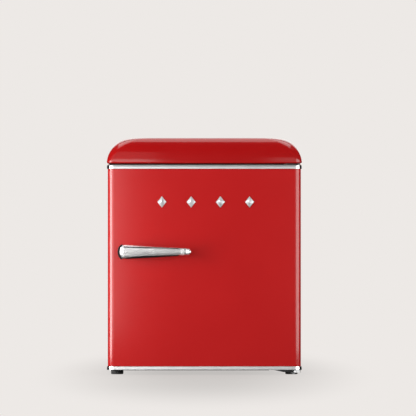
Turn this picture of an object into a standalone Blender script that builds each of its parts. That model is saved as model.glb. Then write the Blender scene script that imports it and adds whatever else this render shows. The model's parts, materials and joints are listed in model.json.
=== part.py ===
"""A retro table-top mini fridge, built as the separate pieces that come apart on a bench.

Metres, +Z up. The origin is under the middle of the fridge on the floor, and the front faces -Y.
Every piece keeps its coordinates in this frame; a moving piece hangs from an empty on its joint's axis.
"""
import math

import bmesh
import bpy
from mathutils import Vector

# ---------------------------------------------------------------- driving dimensions, in metres
GAP = 0.0003                     # clearance left between two pieces that touch
HEIGHT = 0.550
CAP_WIDTH = 0.453
DOOR_WIDTH = 0.448
CABINET_WIDTH = 0.448

DOOR_FRONT = -0.203
DOOR_BACK = -0.158
DOOR_CORNER = 0.014              # radius of the door's two upright front edges
CABINET_FRONT = -0.150
CABINET_REAR = 0.225

FLOOR_TO_DOOR = 0.0115           # underside of the door's lower chrome strip
STRIP_HEIGHT = 0.0085
DOOR_TOP = 0.4865                # top of the door's upper chrome strip
CABINET_BOTTOM = 0.0147
CABINET_TOP = 0.4902             # top edge of the side panels
CAP_BOTTOM = 0.4905

# Top cover: a tall soft shoulder all round, wide at the sides and shallow at the front and rear
CAP_FRONT = -0.206
CAP_SHOULDER = 0.057             # height of the shoulder
CAP_SIDE_LEAN = 0.062            # how far the shoulder draws in at the sides
CAP_FRONT_LEAN = 0.020           # and at the front and rear
CAP_PLAN_CORNER = 0.016          # corner radius in plan at the foot
CAP_CORNER_GROWTH = 0.030        # added to it at the top of the shoulder
CAP_CROWN = HEIGHT - CAP_BOTTOM - CAP_SHOULDER
CAP_WALL = 0.003
TRAY_PLATE = 0.002
TRAY_SKIRT_FRONT = -0.156
TRAY_SKIRT_BACK = -0.1525
TRAY_SKIRT_RIGHT = 0.185         # the skirt stops short of the upper hinge

# Cabinet walls
SHEET = 0.0012                   # painted side sheets
THIN_SHEET = 0.0007              # zinc sheets at the top and the rear
FOLDED_SHEET = 0.001             # zinc sheet under the foam
LINER_WALL = 0.002
FOAM_HALF = 0.2224
FOAM_FRONT = -0.1482
FOAM_REAR = 0.2240
FOAM_BOTTOM = 0.0160
FOAM_TOP = 0.4864
BAY_FRONT = 0.0730               # the compressor bay is the step behind the lower compartment
BAY_TOP = 0.1670
CAVITY_HALF = 0.192
CAVITY_BOTTOM = 0.062
CAVITY_TOP = 0.444
CAVITY_STEP_FRONT = 0.035
CAVITY_STEP_TOP = 0.205
CAVITY_REAR = 0.184
LINER_HALF = CAVITY_HALF - GAP - LINER_WALL

# Joints
DOOR_AXIS = Vector((0.206, -0.180, 0.0))
FLAP_AXIS = Vector((0.0, -0.043, 0.431))
KNOB_AXIS = Vector((0.164, 0.040, 0.282))
PIN_RADIUS = 0.004
PIN_CLEARANCE = 0.0003
FLAP_PIN_RADIUS = 0.002

# Lower hinge and feet
BRACKET_LOW = 0.0080
BRACKET_TOP = 0.0112
BRACKET_FRONT = -0.192
BRACKET_REAR = -0.090
BRACKET_STEP = -0.146            # behind this line the bracket is packed up to the cabinet
BRACKET_INNER = 0.184
BRACKET_OUTER = 0.2232
BRACKET_WEDGE = 0.024            # length of the wedge-shaped ear on its inner side
UPPER_BRACKET = (0.192, -0.191), (0.2215, -0.095)
UPPER_BRACKET_SHEET = 0.0022
NUT_RADIUS = 0.0075
NUT_HEIGHT = 0.0052
FOOT_X = 0.203
FOOT_FRONT_Y = -0.1345
FOOT_REAR_Y = 0.200
PAD_RADIUS = 0.0150
TREAD_RADIUS = 0.0120
PAD_EDGE = 0.0012
STUD_RADIUS = 0.004
STUD_HOLE_RADIUS = 0.0048
STUD_TOP = 0.036

# Ice box, flap and drip tray
ICE_HALF = 0.175
ICE_FRONT = -0.040
ICE_REAR = 0.170
ICE_BOTTOM = 0.345
ICE_TOP = CAVITY_TOP - LINER_WALL - 2 * GAP
ICE_WALL = 0.002
FRAME_FRONT = -0.046
FRAME_HALF = 0.181
FRAME_OPEN_HALF = 0.171
FLAP_HALF = 0.1695
FLAP_THICKNESS = 0.003
TRAY_HALF = 0.170
TRAY_LIP_HALF = 0.184
TRAY_FRONT = -0.046
TRAY_REAR = 0.150
TRAY_BOTTOM = 0.326
TRAY_LIP_LOW = 0.338
TRAY_WALL = 0.0018
TRAY_LEDGE_LOW = 0.334
TRAY_LEDGE_FRONT = -0.070
LEDGE_REACH = 0.006              # how far the liner's ledges run under a lip

SHELF_LEDGE_INNER = 0.180
SHELF_LEDGE_LOW = 0.202
SHELF_FRONT = -0.060

SHELF_BOTTOM = CAVITY_STEP_TOP + LINER_WALL + 2 * GAP
SHELF_GLASS = 0.004
SHELF_HALF = 0.1885
SHELF_RAIL = 0.0083              # depth of the rail on the glass's front edge

# Inner face of the door, its seal and its shelves
LINER_PLATE = (-0.216, 0.024), (0.216, 0.474)
DYKE = (-0.184, 0.070), (0.184, 0.436)
DYKE_LEAN = 0.003
DYKE_WALL = 0.009
DYKE_RIM = -0.133
SEAL_OUTER = (-0.207, 0.033), (0.207, 0.465)
SEAL_WIDTH = 0.012
BIN_HALF = 0.1725
BIN_FRONT = -0.086
BINS = ("door_bin_lower", 0.084, 0.144), ("door_bin_upper", 0.248, 0.298)

# Handle: a tapering chrome bar on the left of the door
HANDLE_Z = 0.2855
HANDLE_LEFT = -0.2005
HANDLE_RIGHT = -0.031
HANDLE_LEFT_HALF = 0.0165
HANDLE_RIGHT_HALF = 0.0075
HANDLE_SAGITTA = 0.007
HANDLE_FRONT = -0.245
HANDLE_BACK = -0.229
HANDLE_EDGE = 0.003
HANDLE_BASES = ("handle_base_left", -0.181, 0.0105, 0.0120), ("handle_base_right", -0.050, 0.0075, 0.0065)
BASE_WAIST = 0.8

# Ornaments on the door
ORNAMENT_Z = 0.401
ORNAMENT_FIRST_X = -0.0985
ORNAMENT_PITCH = 0.0678
ORNAMENT_COUNT = 4
ORNAMENT_HALF_HEIGHT = 0.0135
ORNAMENT_HALF_WIDTH = 0.0105
ORNAMENT_BORDER = 0.0012
ORNAMENT_HEIGHT = 0.0032
ORNAMENT_RIDGE = 0.35            # size of the flat top against the base

# Thermostat
CONTROL_BOX_FRONT = -0.005
CONTROL_BOX_REAR = 0.085
CONTROL_BOX_LOW = 0.255
CONTROL_BOX_HIGH = 0.309
KNOB_PROFILE = (0.0180, 0.0), (0.0180, 0.003), (0.0150, 0.011), (0.0135, 0.0125)
KNOB_CREST = 0.0145
GRIP_HALF_WIDTH = 0.0022
GRIP_HALF_LENGTH = 0.0125

# Cooling circuit
COMPRESSOR_CENTRE = Vector((0.085, 0.150, 0.0))
CAN_HALF_X = 0.060
CAN_HALF_Y = 0.052
CAN_SEAM = 0.082
LEG_X = 0.066
LEG_Y = 0.046
LEG_LOW = 0.0285
LEG_TOP = 0.0317
TERMINAL_DEPTH = 0.030
TERMINAL_HALF = 0.024
TERMINAL_LOW = 0.052
TERMINAL_HIGH = 0.108
GLAND_Z = 0.066
GLAND_LENGTH = 0.009
BASE_PLATE_SHEET = 0.0015
DRIER_AXIS = (-0.150, 0.195)
CONDENSER_Y = 0.2423
CONDENSER_RADIUS = 0.0027
CONDENSER_HALF = 0.165
CONDENSER_LOW = 0.200
CONDENSER_PITCH = 0.034
CONDENSER_PASSES = 9
RAIL_X = 0.120
RAIL_HALF = 0.007
RAIL_WALL = 0.0015
DISCHARGE_Z = 0.152
RETURN_Z = 0.178

ARC_STEPS = 5
ROUND_SIDES = 24
SMALL_SIDES = 12
SHARP_ANGLE = math.radians(35)


# ---------------------------------------------------------------- scene and materials
def clear_scene():
    for obj in list(bpy.data.objects):
        bpy.data.objects.remove(obj, do_unlink=True)


def make_material(name, color, roughness, metallic=0.0, alpha=1.0):
    mat = bpy.data.materials.new(name)
    mat.use_nodes = True
    shader = mat.node_tree.nodes["Principled BSDF"]
    shader.inputs["Base Color"].default_value = (*color, 1.0)
    shader.inputs["Roughness"].default_value = roughness
    shader.inputs["Metallic"].default_value = metallic
    shader.inputs["Alpha"].default_value = alpha
    return mat


def red_enamel():
    return make_material("red_enamel", (0.48, 0.014, 0.014), 0.28)


def chrome():
    return make_material("chrome", (0.78, 0.79, 0.80), 0.12, 1.0)


def black_plastic():
    return make_material("black_plastic", (0.012, 0.012, 0.012), 0.45)


def black_steel():
    return make_material("black_steel", (0.014, 0.014, 0.015), 0.42, 0.2)


def white_plastic():
    return make_material("white_plastic", (0.83, 0.84, 0.84), 0.38)


def grey_rubber():
    return make_material("grey_rubber", (0.055, 0.055, 0.055), 0.75)


def white_rubber():
    return make_material("white_rubber", (0.72, 0.72, 0.71), 0.62)


def zinc_steel():
    return make_material("zinc_steel", (0.60, 0.61, 0.62), 0.34, 1.0)


def foam():
    return make_material("foam", (0.80, 0.70, 0.42), 0.90)


def white_foam():
    return make_material("white_foam", (0.90, 0.90, 0.90), 0.92)


def aluminium():
    return make_material("aluminium", (0.74, 0.75, 0.76), 0.36, 1.0)


def clear_glass():
    return make_material("clear_glass", (0.80, 0.90, 0.88), 0.05, 0.0, 0.35)


def clear_plastic():
    return make_material("clear_plastic", (0.86, 0.90, 0.92), 0.15, 0.0, 0.6)


def copper():
    return make_material("copper", (0.72, 0.36, 0.22), 0.32, 1.0)


# ---------------------------------------------------------------- outlines, as lists of 2D points
def arc(centre_u, centre_v, radius, start, end, steps=ARC_STEPS):
    points = []
    for i in range(steps + 1):
        angle = math.radians(start + (end - start) * i / steps)
        points.append((centre_u + radius * math.cos(angle), centre_v + radius * math.sin(angle)))
    return points


def circle(radius, sides=ROUND_SIDES, centre=(0.0, 0.0)):
    turn = [math.tau * i / sides for i in range(sides)]
    return [(centre[0] + radius * math.cos(a), centre[1] + radius * math.sin(a)) for a in turn]


def rounded_rectangle(low, high, radius, steps=3):
    right, top = high[0] - radius, high[1] - radius
    left, bottom = low[0] + radius, low[1] + radius
    return (arc(right, bottom, radius, -90, 0, steps) + arc(right, top, radius, 0, 90, steps)
            + arc(left, top, radius, 90, 180, steps) + arc(left, bottom, radius, 180, 270, steps))


def door_path(inset):
    """The door's left side, front and right side seen from above."""
    half = DOOR_WIDTH / 2 - inset
    front = DOOR_FRONT + inset
    radius = DOOR_CORNER - inset
    left = arc(-half + radius, front + radius, radius, 180, 270)
    right = arc(half - radius, front + radius, radius, 270, 360)
    return [(-half, DOOR_BACK)] + left + right + [(half, DOOR_BACK)]


def grown(low, high, amount):
    """A rectangle's corners moved outwards, or inwards for a negative amount."""
    return (low[0] - amount, low[1] - amount), (high[0] + amount, high[1] + amount)


# ---------------------------------------------------------------- solids
def at_height(outline, z):
    return [Vector((x, y, z)) for x, y in outline]


def at_depth(outline, y):
    return [Vector((x, y, z)) for x, z in outline]


def at_side(outline, x):
    return [Vector((x, y, z)) for y, z in outline]


def loft(rings):
    """A closed body through rings of equal length, capped at the first and the last."""
    mesh = bmesh.new()
    loops = [[mesh.verts.new(point) for point in ring] for ring in rings]
    for low, high in zip(loops, loops[1:]):
        join_loops(mesh, low, high)
    mesh.faces.new(list(reversed(loops[0])))
    mesh.faces.new(loops[-1])
    return mesh


def join_loops(mesh, low, high):
    for i in range(len(low)):
        j = (i + 1) % len(low)
        mesh.faces.new((low[i], low[j], high[j], high[i]))


def closed_ring(rings):
    """A ring-shaped body: the last section joins the first again."""
    mesh = bmesh.new()
    loops = [[mesh.verts.new(point) for point in ring] for ring in rings]
    for low, high in zip(loops, loops[1:] + loops[:1]):
        join_loops(mesh, low, high)
    return mesh


def box(low, high):
    outline = [(low[0], low[1]), (high[0], low[1]), (high[0], high[1]), (low[0], high[1])]
    return loft([at_height(outline, low[2]), at_height(outline, high[2])])


def bowl(low, high, radius, wall, floor, taper=0.0):
    """An open-topped tray whose sides lean in by a taper towards its floor."""
    foot_low = (low[0] + taper, low[1] + taper)
    foot_high = (high[0] - taper, high[1] - taper)

    def inner(corner_low, corner_high):
        return rounded_rectangle((corner_low[0] + wall, corner_low[1] + wall),
                                 (corner_high[0] - wall, corner_high[1] - wall), radius - wall)
    return loft([
        at_height(rounded_rectangle(foot_low, foot_high, radius), low[2]),
        at_height(rounded_rectangle(low, high, radius), high[2]),
        at_height(inner(low, high), high[2]),
        at_height(inner(foot_low, foot_high), low[2] + floor)])


def turned(profile, sides=ROUND_SIDES, centre=(0.0, 0.0)):
    """A round body about an upright axis, from (radius, height) pairs."""
    return loft([at_height(circle(radius, sides, centre), z) for radius, z in profile])


def add_object(name, mesh, material, parent=None, smooth=False):
    bmesh.ops.recalc_face_normals(mesh, faces=mesh.faces[:])
    data = bpy.data.meshes.new(name)
    mesh.to_mesh(data)
    mesh.free()
    if smooth:
        data.shade_smooth()
        data.set_sharp_from_angle(angle=SHARP_ANGLE)
    obj = bpy.data.objects.new(name, data)
    bpy.context.scene.collection.objects.link(obj)
    data.materials.append(material)
    hang(obj, parent)
    return obj


def hang(obj, parent):
    if parent:
        obj.parent = parent
        obj.location = -parent.location


def add_tube(name, points, radius, material, rounding=2):
    curve = bpy.data.curves.new(name, "CURVE")
    curve.dimensions = "3D"
    curve.bevel_depth = radius
    curve.bevel_resolution = rounding
    curve.render_resolution_u = 0
    curve.use_fill_caps = True
    spline = curve.splines.new("POLY")
    spline.points.add(len(points) - 1)
    for target, point in zip(spline.points, points):
        target.co = (*point, 1.0)
    curve.materials.append(material)
    obj = bpy.data.objects.new(name, curve)
    bpy.context.scene.collection.objects.link(obj)
    return obj


def add_empty(name, location):
    empty = bpy.data.objects.new(name, None)
    empty.location = location
    bpy.context.scene.collection.objects.link(empty)
    return empty


def combine(obj, mesh, operation):
    """Cut a shape out of an object, or join it on, with an exact Boolean."""
    tool = add_object(f"{obj.name}_{operation.lower()}", mesh, obj.data.materials[0], obj.parent)
    tool.hide_render = True
    tool.display_type = "WIRE"
    modifier = obj.modifiers.new(operation.title(), "BOOLEAN")
    modifier.operation = operation
    modifier.solver = "EXACT"
    modifier.object = tool


def soften(obj, width, segments=2):
    """Round an object's hard edges."""
    modifier = obj.modifiers.new("Edges", "BEVEL")
    modifier.width = width
    modifier.segments = segments
    modifier.limit_method = "ANGLE"
    modifier.angle_limit = SHARP_ANGLE


# ---------------------------------------------------------------- cabinet shell
def build_side_panels():
    paint = red_enamel()
    outer = CABINET_WIDTH / 2
    for name, sign in (("side_panel_left", -1), ("side_panel_right", 1)):
        x_low, x_high = sorted((sign * outer, sign * (outer - SHEET)))
        panel = box((x_low, CABINET_FRONT, CABINET_BOTTOM), (x_high, CABINET_REAR, CABINET_TOP))
        add_object(name, panel, paint)


def build_top_panel():
    low = FOAM_TOP + GAP
    sheet = box((-FOAM_HALF, FOAM_FRONT, low), (FOAM_HALF, FOAM_REAR, low + THIN_SHEET))
    add_object("top_panel", sheet, zinc_steel())


def foam_side_outline():
    """The foam block from the side, with the compressor bay left out at its lower rear."""
    return [(FOAM_FRONT, FOAM_BOTTOM), (BAY_FRONT, FOAM_BOTTOM), (BAY_FRONT, BAY_TOP),
            (FOAM_REAR, BAY_TOP), (FOAM_REAR, FOAM_TOP), (FOAM_FRONT, FOAM_TOP)]


def cavity_side_outline(inset, front):
    """The food compartment from the side, with the step that clears the compressor."""
    return [(front, CAVITY_BOTTOM + inset), (CAVITY_STEP_FRONT - inset, CAVITY_BOTTOM + inset),
            (CAVITY_STEP_FRONT - inset, CAVITY_STEP_TOP + inset),
            (CAVITY_REAR - inset, CAVITY_STEP_TOP + inset),
            (CAVITY_REAR - inset, CAVITY_TOP - inset), (front, CAVITY_TOP - inset)]


def side_prism(outline, half):
    return loft([at_side(outline, -half), at_side(outline, half)])


def build_bottom_panel():
    """Folded sheet under the foam and round the compressor bay."""
    near, far = GAP, GAP + FOLDED_SHEET
    inner = [(FOAM_FRONT, FOAM_BOTTOM - near), (BAY_FRONT + near, FOAM_BOTTOM - near),
             (BAY_FRONT + near, BAY_TOP - near), (FOAM_REAR, BAY_TOP - near)]
    outer = [(FOAM_FRONT, FOAM_BOTTOM - far), (BAY_FRONT + far, FOAM_BOTTOM - far),
             (BAY_FRONT + far, BAY_TOP - far), (FOAM_REAR, BAY_TOP - far)]
    panel = add_object("bottom_panel", side_prism(inner + list(reversed(outer)), FOAM_HALF), zinc_steel())
    drill_stud_holes(panel)


def build_back_panel():
    low = FOAM_REAR + GAP
    sheet = box((-FOAM_HALF, low, BAY_TOP), (FOAM_HALF, low + THIN_SHEET, FOAM_TOP))
    add_object("back_panel", sheet, zinc_steel())


def drill_stud_holes(obj):
    """Two blind holes that take the studs of the levelling feet."""
    for sign in (-1, 1):
        centre = (sign * FOOT_X, FOOT_FRONT_Y)
        depth = STUD_TOP + 0.002
        combine(obj, turned([(STUD_HOLE_RADIUS, -0.005), (STUD_HOLE_RADIUS, depth)], SMALL_SIDES, centre),
                "DIFFERENCE")


def build_cabinet_foam():
    block = add_object("cabinet_foam", side_prism(foam_side_outline(), FOAM_HALF), foam())
    combine(block, side_prism(cavity_side_outline(0.0, FOAM_FRONT - 0.01), CAVITY_HALF), "DIFFERENCE")
    drill_stud_holes(block)


def build_liner():
    """Moulded inner shell with a front flange and ledges for the tray and the shelf."""
    shell = side_prism(cavity_side_outline(GAP, FOAM_FRONT - 0.0008), CAVITY_HALF - GAP)
    liner = add_object("cabinet_liner", shell, white_plastic())
    flange = box((-FOAM_HALF, CABINET_FRONT, FOAM_BOTTOM), (FOAM_HALF, FOAM_FRONT - GAP, FOAM_TOP))
    combine(liner, flange, "UNION")
    hollow = side_prism(cavity_side_outline(GAP + LINER_WALL, CABINET_FRONT - 0.01), LINER_HALF)
    combine(liner, hollow, "DIFFERENCE")
    buried = LINER_HALF + LINER_WALL / 2
    tray_ledge = ((TRAY_LIP_HALF - LEDGE_REACH, TRAY_LEDGE_FRONT, TRAY_LEDGE_LOW),
                  (buried, TRAY_REAR, TRAY_LIP_LOW - GAP))
    step_wall = CAVITY_STEP_FRONT - GAP - LINER_WALL / 2
    shelf_ledge = ((SHELF_LEDGE_INNER, SHELF_FRONT, SHELF_LEDGE_LOW),
                   (buried, step_wall, SHELF_BOTTOM - GAP))
    for low, high in (tray_ledge, shelf_ledge):
        combine(liner, box(low, high), "UNION")
        combine(liner, box((-high[0], low[1], low[2]), (-low[0], high[1], high[2])), "UNION")


# ---------------------------------------------------------------- top cover
def cap_levels(drop):
    """Pairs of lean (0 at the foot, 1 at the top of the shoulder) and rise above the foot."""
    shoulder_steps = 8
    levels = [(0.0, -drop)] if drop else []
    for i in range(shoulder_steps + 1):
        angle = math.pi / 2 * i / shoulder_steps
        levels.append((1 - math.cos(angle), CAP_SHOULDER * math.sin(angle)))
    return levels


def cap_solid(inset=0.0, drop=0.0):
    """The domed cover as plan sections, drawn in by an inset and let down by a drop at its foot."""
    rings = []
    for lean, rise in cap_levels(drop):
        half = CAP_WIDTH / 2 - CAP_SIDE_LEAN * lean
        low = (-half, CAP_FRONT + CAP_FRONT_LEAN * lean)
        high = (half, CABINET_REAR - CAP_FRONT_LEAN * lean)
        corner = CAP_PLAN_CORNER + CAP_CORNER_GROWTH * lean - inset / 2
        outline = rounded_rectangle(*grown(low, high, -inset), corner, 4)
        rings.append(at_height(outline, CAP_BOTTOM + rise - inset * lean))
    return loft(rings + crown_rings(rings[-1]))


def crown_rings(edge):
    """Ever smaller copies of the shoulder's top edge, rising to the crown."""
    crown_steps = 4
    middle_y = (CAP_FRONT + CABINET_REAR) / 2
    rings = []
    for i in range(1, crown_steps + 1):
        share = 1 - i / (crown_steps + 1)
        rise = CAP_CROWN * (1 - math.cos(math.pi * i / crown_steps)) / 2
        rings.append([Vector((p.x * share, middle_y + (p.y - middle_y) * share, p.z + rise)) for p in edge])
    return rings


def build_top_cover():
    cover = add_object("top_cover", cap_solid(), red_enamel(), smooth=True)
    combine(cover, cap_solid(CAP_WALL, drop=0.005), "DIFFERENCE")


def build_top_cover_foam():
    """Expanded polystyrene block that stiffens the cover."""
    low = CAP_BOTTOM + TRAY_PLATE + GAP
    wide, narrow = 0.210, 0.160
    rings = []
    for half, inset, z in ((wide, 0.012, low), (wide, 0.012, 0.512), (0.196, 0.016, 0.529),
                           (narrow, 0.022, 0.5425)):
        outline = rounded_rectangle((-half, CAP_FRONT + inset), (half, CABINET_REAR - inset), 0.012, 2)
        rings.append(at_height(outline, z))
    add_object("top_cover_foam", loft(rings), white_foam())


def build_top_cover_tray():
    """Black plate that closes the cover underneath, with a skirt over the cabinet's front edge."""
    half = CAP_WIDTH / 2 - CAP_WALL - 0.0006
    low = (-half, CAP_FRONT + CAP_WALL + 0.0006)
    high = (half, CABINET_REAR - CAP_WALL - 0.0006)
    outline = rounded_rectangle(low, high, 0.015)
    plate = loft([at_height(outline, CAP_BOTTOM), at_height(outline, CAP_BOTTOM + TRAY_PLATE)])
    tray = add_object("top_cover_tray", plate, black_plastic())
    skirt = box((-FOAM_HALF, TRAY_SKIRT_FRONT, DOOR_TOP + 4 * GAP),
                (TRAY_SKIRT_RIGHT, TRAY_SKIRT_BACK, CAP_BOTTOM + TRAY_PLATE / 2))
    combine(tray, skirt, "UNION")


# ---------------------------------------------------------------- hinges, feet
def build_upper_hinge():
    low = FOAM_TOP + 3 * GAP + THIN_SHEET
    plate = rounded_rectangle(*UPPER_BRACKET, 0.006)
    bracket = loft([at_height(plate, low), at_height(plate, low + UPPER_BRACKET_SHEET)])
    add_object("upper_hinge_bracket", bracket, black_steel())
    centre = DOOR_AXIS[:2]
    pin = turned([(0.0030, 0.4784), (PIN_RADIUS, 0.4794), (PIN_RADIUS, DOOR_TOP + 0.0008)],
                 ROUND_SIDES, centre)
    add_object("upper_hinge_pin", pin, zinc_steel(), smooth=True)


def build_lower_bracket():
    """Plate under the cabinet that carries the door, with a wedge-shaped ear on its inner side."""
    seat = CABINET_BOTTOM - GAP
    side = [(BRACKET_FRONT, BRACKET_LOW), (BRACKET_REAR, BRACKET_LOW), (BRACKET_REAR, seat),
            (BRACKET_STEP, seat), (BRACKET_STEP, BRACKET_TOP), (BRACKET_FRONT, BRACKET_TOP)]
    plate = loft([at_side(side, BRACKET_INNER), at_side(side, BRACKET_OUTER)])
    bracket = add_object("lower_hinge_bracket", plate, black_steel())
    buried = BRACKET_INNER + 0.001
    ear = [(BRACKET_INNER - BRACKET_WEDGE, BRACKET_TOP), (buried, BRACKET_TOP),
           (buried, BRACKET_LOW), (BRACKET_INNER, BRACKET_LOW)]
    wedge = loft([at_depth(ear, BRACKET_FRONT + 0.001), at_depth(ear, BRACKET_STEP - 0.001)])
    combine(bracket, wedge, "UNION")
    stud_hole = turned([(STUD_HOLE_RADIUS, 0.0), (STUD_HOLE_RADIUS, STUD_TOP)], SMALL_SIDES,
                       (FOOT_X, FOOT_FRONT_Y))
    combine(bracket, stud_hole, "DIFFERENCE")


def build_lower_hinge():
    build_lower_bracket()
    centre = DOOR_AXIS[:2]
    zinc = zinc_steel()
    pin = turned([(PIN_RADIUS, BRACKET_TOP + GAP), (PIN_RADIUS, 0.0185), (0.0030, 0.0193)],
                 ROUND_SIDES, centre)
    add_object("lower_hinge_pin", pin, zinc, smooth=True)
    foot = BRACKET_LOW - NUT_HEIGHT
    chamfer = 0.0007
    profile = [(NUT_RADIUS - chamfer, foot), (NUT_RADIUS, foot + chamfer),
               (NUT_RADIUS, BRACKET_LOW - GAP)]
    add_object("lower_hinge_nut", turned(profile, 6, centre), zinc)


def build_front_feet(left_axis, right_axis):
    """Levelling feet: a pad moulded on its stud; the right pad is short, to fit under the bracket."""
    rubber = grey_rubber()
    for side, sign, parent, top in (("left", -1, left_axis, CABINET_BOTTOM - 3 * GAP),
                                    ("right", 1, right_axis, BRACKET_LOW - GAP)):
        centre = (sign * FOOT_X, FOOT_FRONT_Y)
        profile = [(TREAD_RADIUS, 0.0), (TREAD_RADIUS + PAD_EDGE, PAD_EDGE), (PAD_RADIUS, top - PAD_EDGE),
                   (PAD_RADIUS - PAD_EDGE, top), (STUD_RADIUS, top), (STUD_RADIUS, STUD_TOP - 0.001),
                   (STUD_RADIUS - 0.001, STUD_TOP)]
        foot = turned(profile, ROUND_SIDES, centre)
        add_object(f"foot_front_{side}", foot, rubber, parent, smooth=True)


def build_rear_feet():
    rubber = grey_rubber()
    top = CABINET_BOTTOM - GAP
    for side, sign in (("left", -1), ("right", 1)):
        centre = (sign * FOOT_X, FOOT_REAR_Y)
        pad = turned([(TREAD_RADIUS, 0.0), (TREAD_RADIUS + PAD_EDGE, PAD_EDGE), (PAD_RADIUS, top)],
                     ROUND_SIDES, centre)
        add_object(f"rear_foot_{side}", pad, rubber, smooth=True)


# ---------------------------------------------------------------- door
def build_door_skin(axis):
    low = FLOOR_TO_DOOR + STRIP_HEIGHT + GAP
    high = DOOR_TOP - STRIP_HEIGHT - GAP
    outline = door_path(0.0) + list(reversed(door_path(0.001)))
    add_object("door_skin", loft([at_height(outline, low), at_height(outline, high)]), red_enamel(),
               axis, smooth=True)


def build_door_foam(axis):
    low = FLOOR_TO_DOOR + STRIP_HEIGHT + GAP
    high = DOOR_TOP - STRIP_HEIGHT - GAP
    outline = [(x, min(y, DOOR_BACK - 0.002)) for x, y in door_path(0.0013)]
    add_object("door_foam", loft([at_height(outline, low), at_height(outline, high)]), foam(), axis)


def build_trim_strips(axis):
    """Chrome strips that wrap the door's front and sides at its top and bottom."""
    steel = chrome()
    proud = -0.0006
    outline = door_path(proud) + list(reversed(door_path(0.0009)))
    for name, low in (("trim_strip_bottom", FLOOR_TO_DOOR), ("trim_strip_top", DOOR_TOP - STRIP_HEIGHT)):
        strip = loft([at_height(outline, low), at_height(outline, low + STRIP_HEIGHT)])
        add_object(name, strip, steel, axis, smooth=True)


def build_end_caps(axis):
    """Plastic end caps of the door, each with the hole for a hinge pin."""
    plastic = black_plastic()
    outline = door_path(0.0012)
    hole = PIN_RADIUS + PIN_CLEARANCE
    for name, low in (("door_end_cap_bottom", FLOOR_TO_DOOR), ("door_end_cap_top", DOOR_TOP - STRIP_HEIGHT)):
        high = low + STRIP_HEIGHT
        cap = add_object(name, loft([at_height(outline, low), at_height(outline, high)]), plastic, axis)
        bore = turned([(hole, low - 0.002), (hole, high + 0.002)], ROUND_SIDES, DOOR_AXIS[:2])
        combine(cap, bore, "DIFFERENCE")


def build_door_liner(axis):
    """White inner face of the door, with the raised wall that holds the shelves."""
    back = DOOR_BACK + GAP
    front = back - LINER_WALL
    plate = rounded_rectangle(*LINER_PLATE, 0.010)
    wall = rounded_rectangle(*DYKE, 0.016)
    wall_top = rounded_rectangle(*grown(*DYKE, -DYKE_LEAN), 0.014)
    recess_top = rounded_rectangle(*grown(*DYKE, -DYKE_WALL), 0.009)
    recess = rounded_rectangle(*grown(*DYKE, -DYKE_WALL - 0.0018), 0.008)
    liner = loft([at_depth(plate, front), at_depth(plate, back), at_depth(wall, back),
                  at_depth(wall_top, DYKE_RIM), at_depth(recess_top, DYKE_RIM), at_depth(recess, back)])
    add_object("door_liner", liner, white_plastic(), axis)


def build_door_gasket(axis):
    """Magnetic seal that closes on the cabinet's front flange."""
    near = DOOR_BACK + 2 * GAP
    far = CABINET_FRONT - GAP
    outer = rounded_rectangle(*SEAL_OUTER, 0.008)
    lip = rounded_rectangle(*grown(*SEAL_OUTER, -0.0015), 0.007)
    inner = rounded_rectangle(*grown(*SEAL_OUTER, -SEAL_WIDTH), 0.004)
    middle = (near + far) / 2
    seal = closed_ring([at_depth(outer, near), at_depth(outer, middle), at_depth(lip, far),
                        at_depth(inner, far), at_depth(inner, near)])
    add_object("door_gasket", seal, white_rubber(), axis)


def build_door_bins(axis):
    plastic = clear_plastic()
    back = DOOR_BACK + 2 * GAP
    for name, low, high in BINS:
        tray = bowl((-BIN_HALF, back, low), (BIN_HALF, BIN_FRONT, high), 0.010, 0.0022, 0.0025)
        add_object(name, tray, plastic, axis)


def handle_outline():
    """The bar from the front: an arched left end, a straight taper and a round tip."""
    bulge = (HANDLE_LEFT_HALF ** 2 + HANDLE_SAGITTA ** 2) / (2 * HANDLE_SAGITTA)
    spread = math.degrees(math.asin(HANDLE_LEFT_HALF / bulge))
    left = arc(HANDLE_LEFT + bulge, HANDLE_Z, bulge, 180 - spread, 180 + spread, 6)
    tip = arc(HANDLE_RIGHT - HANDLE_RIGHT_HALF, HANDLE_Z, HANDLE_RIGHT_HALF, -88, 88, 8)
    return left + tip


def build_handle(axis):
    steel = chrome()
    outline = handle_outline()
    bar = add_object("handle_bar", loft([at_depth(outline, HANDLE_FRONT), at_depth(outline, HANDLE_BACK)]),
                     steel, axis, smooth=True)
    soften(bar, HANDLE_EDGE)
    skin = DOOR_FRONT - GAP
    near = HANDLE_BACK + GAP
    for name, x, half_x, half_z in HANDLE_BASES:
        wide = rounded_rectangle((x - half_x, HANDLE_Z - half_z), (x + half_x, HANDLE_Z + half_z), 0.005)
        waist_x, waist_z = half_x * BASE_WAIST, half_z * BASE_WAIST
        slim = rounded_rectangle((x - waist_x, HANDLE_Z - waist_z), (x + waist_x, HANDLE_Z + waist_z), 0.004)
        post = loft([at_depth(wide, skin), at_depth(slim, skin - 0.006), at_depth(slim, near)])
        add_object(name, post, black_plastic(), axis, smooth=True)


def lozenge(x, half_width, half_height):
    return [(x - half_width, ORNAMENT_Z), (x, ORNAMENT_Z - half_height), (x + half_width, ORNAMENT_Z),
            (x, ORNAMENT_Z + half_height)]


def build_ornaments(axis):
    """A row of plain faceted lozenges across the upper part of the door."""
    steel = chrome()
    back = DOOR_FRONT - GAP
    for i in range(ORNAMENT_COUNT):
        x = ORNAMENT_FIRST_X + i * ORNAMENT_PITCH
        base = lozenge(x, ORNAMENT_HALF_WIDTH, ORNAMENT_HALF_HEIGHT)
        ridge = lozenge(x, ORNAMENT_HALF_WIDTH * ORNAMENT_RIDGE, ORNAMENT_HALF_HEIGHT * ORNAMENT_RIDGE)
        stud = loft([at_depth(base, back), at_depth(base, back - ORNAMENT_BORDER),
                     at_depth(ridge, back - ORNAMENT_HEIGHT)])
        add_object(f"ornament_{i + 1}", stud, steel, axis)


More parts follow.
